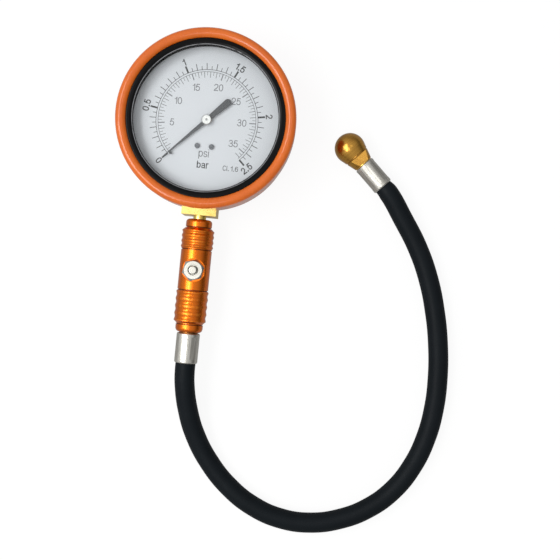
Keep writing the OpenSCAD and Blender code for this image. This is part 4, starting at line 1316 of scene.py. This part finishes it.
BOWL = bow((0.24, 0.36), (0.24, 0.36), 0, 360)
GLYPHS = {
    "0": Glyph(0.56, (bow((0.28, 0.5), (0.28, 0.5), 90, 450),)),
    "1": Glyph(0.27, (((0, 0.74), (0.12, 0.8), (0.21, 0.89), (0.26, 1)),
                      ((0.27, 1), (0.27, 0)))),
    "2": Glyph(0.55, ((*bow((0.27, 0.71), (0.26, 0.29), 168, -36), (0.36, 0.4),
                       (0.14, 0.2), (0.03, 0.07), (0, 0)),
                      ((0, 0), (0.55, 0)))),
    "3": Glyph(0.54, (bow((0.25, 0.76), (0.23, 0.24), 160, -80), ((0.18, 0.53), (0.3, 0.53)),
                      bow((0.26, 0.265), (0.28, 0.265), 84, -165))),
    "5": Glyph(0.55, (((0.12, 1), (0.5, 1)), ((0.12, 1), (0.03, 0.49)),
                      bow((0.27, 0.325), (0.28, 0.325), 150, -162))),
    "6": Glyph(0.56, ((*bow((0.29, 0.62), (0.28, 0.38), 30, 180), (0, 0.44), (0, 0.31)),
                      bow((0.28, 0.31), (0.28, 0.31), 0, 360))),
    ".": Glyph(0.12, (((0.02, 0), (0.1, 0)), ((0.02, 0.06), (0.1, 0.06)))),
    "a": Glyph(0.5, ((*bow((0.24, 0.53), (0.21, 0.19), 165, 8), (0.46, 0.1), (0.49, 0)),
                     ((0.45, 0.43), (0.28, 0.41), (0.1, 0.36), (0.01, 0.2), (0.06, 0.04),
                      (0.2, 0), (0.36, 0.05), (0.45, 0.2)))),
    "b": Glyph(0.48, (((0, 1), (0, 0)), BOWL)),
    "i": Glyph(0, (((0, 0.72), (0, 0)), ((0, 0.98), (0, 1)))),
    "l": Glyph(0, (((0, 1), (0, 0)),)),
    "p": Glyph(0.48, (((0, 0.72), (0, -0.28)), BOWL)),
    "r": Glyph(0.25, (((0, 0.72), (0, 0)),
                      ((0, 0.42), (0.04, 0.6), (0.13, 0.7), (0.25, 0.72)))),
    "s": Glyph(0.42, ((*bow((0.21, 0.54), (0.2, 0.18), 20, 250),
                       *bow((0.21, 0.18), (0.21, 0.18), 70, -160)),)),
    "C": Glyph(0.58, (bow((0.32, 0.5), (0.32, 0.5), 42, 318),)),
}


@dataclass
class Typeface:
    """Plain lettering in one size: each letter is modelled once and copied into its words.

    The height, the pen and the ink are in millimetres, the gap and the blank in heights.
    """

    height: float
    pen: float
    gap: float = 0.09
    blank: float = 0.34
    ink: float = 0.03

    def __post_init__(self) -> None:
        """Starts with no letters."""
        self.unit = self.height - self.pen
        self.patterns: dict[str, Workpiece] = {}

    def pattern(self, letter: str) -> Workpiece:
        """Models a letter at the origin, at its first use.

        Args:
            letter: The letter.

        Returns:
            Its strokes as one thin mesh.
        """
        if letter not in self.patterns:
            curve = round_curve("letter", self.pen / 2 * MM, rounds=1)
            for stroke in GLYPHS[letter].strokes:
                self.draw(curve.data, [Vector(p) * self.unit for p in stroke])
            Workpiece.lone(curve)
            bpy.ops.object.convert(target="MESH")
            made = Workpiece(bpy.context.object, "letter")
            with made.editing():
                bpy.ops.transform.resize(value=(1, 1, self.ink / self.pen))
                made.close()
            self.patterns[letter] = made
        return self.patterns[letter]

    def draw(self, data: bpy.types.Curve, points: list[Vector]) -> None:
        """Draws one pen stroke, with square ends unless it closes on itself.

        Args:
            data: The curve that gets the stroke.
            points: Its centre line in millimetres.
        """
        closed = (points[0] - points[-1]).length < CLOSED_WITHIN * self.height
        if closed:
            points = points[:-1]
        else:
            first = (points[0] - points[1]).normalized() * self.pen / 2
            last = (points[-1] - points[-2]).normalized() * self.pen / 2
            points = [points[0] + first, *points[1:-1], points[-1] + last]
        spline = data.splines.new("POLY")
        spline.points.add(len(points) - 1)
        spline.use_cyclic_u = closed
        for knot, point in zip(spline.points, points):
            knot.co = (*mm(point.x, point.y, 0), 1)

    def word(self, name: str, text: str, at: Pair, z: float, turn: float = 0.0) -> Workpiece:
        """Sets a number or a word.

        Args:
            name: The piece's name.
            text: What it says.
            at: Where its middle lies, in millimetres.
            z: The height that it is printed on.
            turn: Its turn in degrees.

        Returns:
            The word as one piece.
        """
        starts, end = [], 0.0
        for letter in text:
            starts.append(end)
            if letter == " ":
                end += (self.blank - self.gap) * self.height
            else:
                end += GLYPHS[letter].width * self.unit + self.pen + self.gap * self.height
        width = end - self.gap * self.height
        place = (
            Matrix.Translation(mm(at[0], at[1], z + self.ink / 2))
            @ Matrix.Rotation(math.radians(turn), 4, "Z")
        )
        parts = []
        for letter, start in zip(text, starts):
            if letter != " ":
                shift = mm(start + self.pen / 2 - width / 2, self.pen / 2 - self.height / 2, 0)
                parts += self.pattern(letter).copies([place @ Matrix.Translation(shift)])
        return Workpiece.joined(name, parts)

    def clear(self) -> None:
        """Takes the patterns away when every word is set."""
        for made in self.patterns.values():
            bpy.data.objects.remove(made.obj)


# ---- dial ----


@dataclass(frozen=True)
class Scale:
    """One of the dial's scales, in millimetres and its own unit.

    A stroke has a name, a width and a length. The first kind marks every tenth step, the
    second every other one and the third the rest. A word has a piece's name, its text, its
    place and its typeface.
    """

    unit: str
    ink: Grained
    per_bar: float
    circle: float
    step: float
    last: int
    strokes: tuple[tuple[str, float, float], ...]
    numbers: tuple[str, ...]
    number_r: float
    number_face: Pair
    turned: bool
    words: tuple[tuple[str, str, Pair, tuple[float, ...]], ...]


BAR_SCALE = Scale(
    "bar", BAR_INK, per_bar=1.0, circle=32.1, step=0.05, last=50,
    strokes=(("half", 1.1, 4.5), ("tenth", 0.42, 4.1), ("fine", 0.36, 2.3)),
    numbers=("0", "0.5", "1", "1.5", "2", "2.5"), number_r=39.2, number_face=(4.3, 0.66),
    turned=True,
    words=(
        ("bar_unit", "bar", (0.0, -27.85), (4.5, 0.58)),
        ("class_mark", "Cl. 1.6", (17.6, -28.7), (3.2, 0.36, 0.14)),
    ),
)
PSI_SCALE = Scale(
    "psi", PSI_INK, per_bar=14.5038, circle=30.8, step=0.5, last=72,
    strokes=(("five", 0.62, -4.1), ("one", 0.36, -3.7), ("fine", 0.3, -2.3)),
    numbers=("5", "10", "15", "20", "25", "30", "35"), number_r=22.0, number_face=(4.4, 0.48),
    turned=False,
    words=(("psi_unit", "psi", (0.0, -20.5), (5.0, 0.5)),),
)


@dataclass
class DialPrint:
    """The print on the dial: it lays each scale's strokes, arc, numbers and words.

    Lengths are in millimetres and angles in degrees. A crown is the share of a line's width
    that is left on its top, and the trim is by how much a stroke's top and foot differ in length.
    """

    dial_z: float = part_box("dial_plate")[1][2] / MM
    ink: float = 0.03
    zero: float = 225.0
    sweep: float = 270.0
    full_bar: float = 2.5
    line: float = 0.32
    line_steps: int = 180
    line_crown: float = 0.8
    stroke_crown: float = 0.86
    stroke_trim: float = 0.05
    flip_below: float = -0.5

    def angle(self, bar: float) -> float:
        """Gives the angle in degrees at which a pressure in bar is marked."""
        return self.zero - self.sweep * bar / self.full_bar

    def strokes(
        self, name: str, width: float, length: float, start: float, angles: Sequence[float]
    ) -> Workpiece:
        """Models one printed stroke along +X and copies it to every angle.

        Args:
            name: The piece's name.
            width: A stroke's width in millimetres.
            length: Its length in millimetres, less than 0 where it points inwards.
            start: The radius where it starts, in millimetres.
            angles: Where the strokes go, in degrees.

        Returns:
            All of them as one piece.
        """
        stroke = Workpiece.plane(name + "_pattern")
        with stroke.editing():
            bpy.ops.transform.resize(value=(length, width, 1))
            bpy.ops.transform.translate(value=mm(length / 2, 0, self.dial_z))
            bpy.ops.mesh.extrude_region_move(
                TRANSFORM_OT_translate={"value": mm(0, 0, self.ink)}
            )
            bpy.ops.transform.resize(
                value=(1 - self.stroke_trim / length, self.stroke_crown, 1)
            )
            bpy.ops.mesh.select_all(action="SELECT")
            bpy.ops.mesh.normals_make_consistent(inside=False)
        out = Matrix.Translation(mm(start, 0, 0))
        turned = [Matrix.Rotation(math.radians(a), 4, "Z") @ out for a in angles]
        copies = stroke.copies(turned)
        bpy.data.objects.remove(stroke.obj)
        return Workpiece.joined(name, copies)

    def scale_line(self, name: str, radius: float) -> Workpiece:
        """Draws one of the two thin arcs that the strokes stand on.

        Args:
            name: The piece's name.
            radius: Its radius in millimetres.

        Returns:
            The arc.
        """
        half, low, high = self.line / 2, self.dial_z, self.dial_z + self.ink
        top = half * self.line_crown
        thin_arc = Workpiece.line(name, [
            mm(radius - half, 0, low), mm(radius + half, 0, low),
            mm(radius + top, 0, high), mm(radius - top, 0, high),
        ])
        thin_arc.spin(math.radians(self.sweep), self.line_steps)
        thin_arc.obj.data.transform(Matrix.Rotation(math.radians(self.zero), 4, "Z"))
        return thin_arc

    def marks(self, scale: Scale) -> list[Workpiece]:
        """Draws a scale's strokes and their arc.

        Args:
            scale: The scale.

        Returns:
            One piece for each kind of stroke, and the arc.
        """
        angles: tuple[list[float], ...] = ([], [], [])
        for i in range(scale.last + 1):
            kind = 0 if i % 10 == 0 else 1 if i % 2 == 0 else 2
            angles[kind].append(self.angle(i * scale.step / scale.per_bar))
        pieces = [
            self.strokes(f"{scale.unit}_ticks_{kind}", width, length, scale.circle, at)
            for (kind, width, length), at in zip(scale.strokes, angles)
        ]
        return [*pieces, self.scale_line(f"{scale.unit}_scale_line", scale.circle)]

    def words(self, scale: Scale) -> list[Workpiece]:
        """Sets a scale's numbers, upright or turned with it, and then its words.

        Args:
            scale: The scale.

        Returns:
            One piece for each number and word.
        """
        entries = []
        for value in scale.numbers:
            angle = self.angle(float(value) / scale.per_bar)
            across, up = math.cos(math.radians(angle)), math.sin(math.radians(angle))
            # a turned number is never upside down
            turn = angle + 90 if up < self.flip_below else angle - 90
            place = (scale.number_r * across, scale.number_r * up)
            name = f"{scale.unit}_number_{value}"
            entries.append((name, value, place, scale.number_face, turn if scale.turned else 0.0))
        entries += [(*word, 0.0) for word in scale.words]
        faces = {sizes: Typeface(*sizes) for _, _, _, sizes, _ in entries}
        pieces = [
            faces[sizes].word(name, text, at, self.dial_z, turn)
            for name, text, at, sizes, turn in entries
        ]
        for face in faces.values():
            face.clear()
        return pieces

    def build(self) -> None:
        """Prints both scales."""
        for scale in (BAR_SCALE, PSI_SCALE):
            for piece in (*self.marks(scale), *self.words(scale)):
                piece.finish(Slot.PRINT, scale.ink, "gauge")


# ---- the carried nodes ----


@dataclass
class GaugeHead:
    """The case, the bezel, the window, the dial and what holds them."""

    def build(self) -> None:
        """Finishes the head's CAD nodes."""
        CASE_STEEL.dress("case")
        BEZEL_BLACK.dress("bezel_ring")
        SEAL_RUBBER.dress("window_gasket", "blow_out_plug")
        GLASS.dress("window_glass")
        DIAL_WHITE.dress("dial_plate")
        STEEL.dress("case_screws")
        POINTER_BLACK.dress("zero_stop_pin", "pointer")
        SCREW_GREY.dress("dial_screws")
        HUB_SILVER.dress("pointer_hub")


@dataclass
class Movement:
    """The brass movement, the tube and the link that drives them."""

    flex_from: Triple = (-0.004, 0.0, 0.018)
    flex_to: Triple = (0.0325, 0.0, 0.018)

    def build(self) -> None:
        """Copies the tube into a piece of its own, and finishes the CAD nodes."""
        tube = Workpiece.of_node("flexing_tube", "bourdon_tube")
        tube.finish(Slot.TUBE, TUBE_BRONZE)
        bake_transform(tube.obj)
        BRASS.dress("dial_standoffs", "hairspring_stud", "movement_pillars", "tube_tip")
        PLATE_BRASS.dress("movement_back_plate", "movement_front_plate", "sector_gear",
                          "link_bar")
        STEEL.dress("movement_screws", "pinion_arbor", "sector_arbor", "link_shoulder_screw",
                    "link_tip_pin")
        HAIR_STEEL.dress("hairspring")


@dataclass
class Handle:
    """The socket, the anodised handle, its bleed valve and the hose's first ferrule."""

    spring_foot_z: float = 0.024
    bleed_travel: float = 1.6 * MM

    def squeeze_spring(self) -> None:
        """Copies the bleed valve's spring into a piece of its own and finishes it."""
        spring = Workpiece.of_node("bleed_coil", "bleed_spring")
        spring.finish(Slot.SPRING, STEEL, "gauge")
        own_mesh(spring.obj)

    def build(self) -> None:
        """Frees the spring and finishes the handle's CAD nodes."""
        self.squeeze_spring()
        SHANK_BRASS.dress("socket_block")
        ANODISED.dress("handle_body")
        WASHER_FIBRE.dress("stem_washer", "handle_fitting_washer")
        # the fitting is darkened with painted shade
        SHADED_BRASS.dress("handle_hose_fitting")
        HANDLE_FERRULE.dress("handle_ferrule")
        NICKEL.dress("bleed_valve_body", "bleed_button")
        STEEL.dress("bleed_retainer")
        SEAL_RUBBER.dress("bleed_seal")


@dataclass
class Chuck:
    """The ball chuck and its end of the hose."""

    def build(self) -> None:
        """Finishes the chuck's CAD nodes."""
        BALL_BRASS.dress("ball_chuck")
        CHUCK_FERRULE.dress("chuck_ferrule")
        VALVE_BRASS.dress("valve_depressor", "chuck_hose_fitting")
        SEAL_RUBBER.dress("chuck_seal")


def main() -> None:
    """Builds the studio and every sub-assembly in order."""
    logging.basicConfig(level=logging.INFO, format="%(name)s: %(message)s")
    for part in (
        Studio(), Hose(), Boot(), DialPrint(), GaugeHead(), Movement(), Handle(), Chuck()
    ):
        LOG.info("building %s", type(part).__name__)
        part.build()


if __name__ == "__main__":
    main()
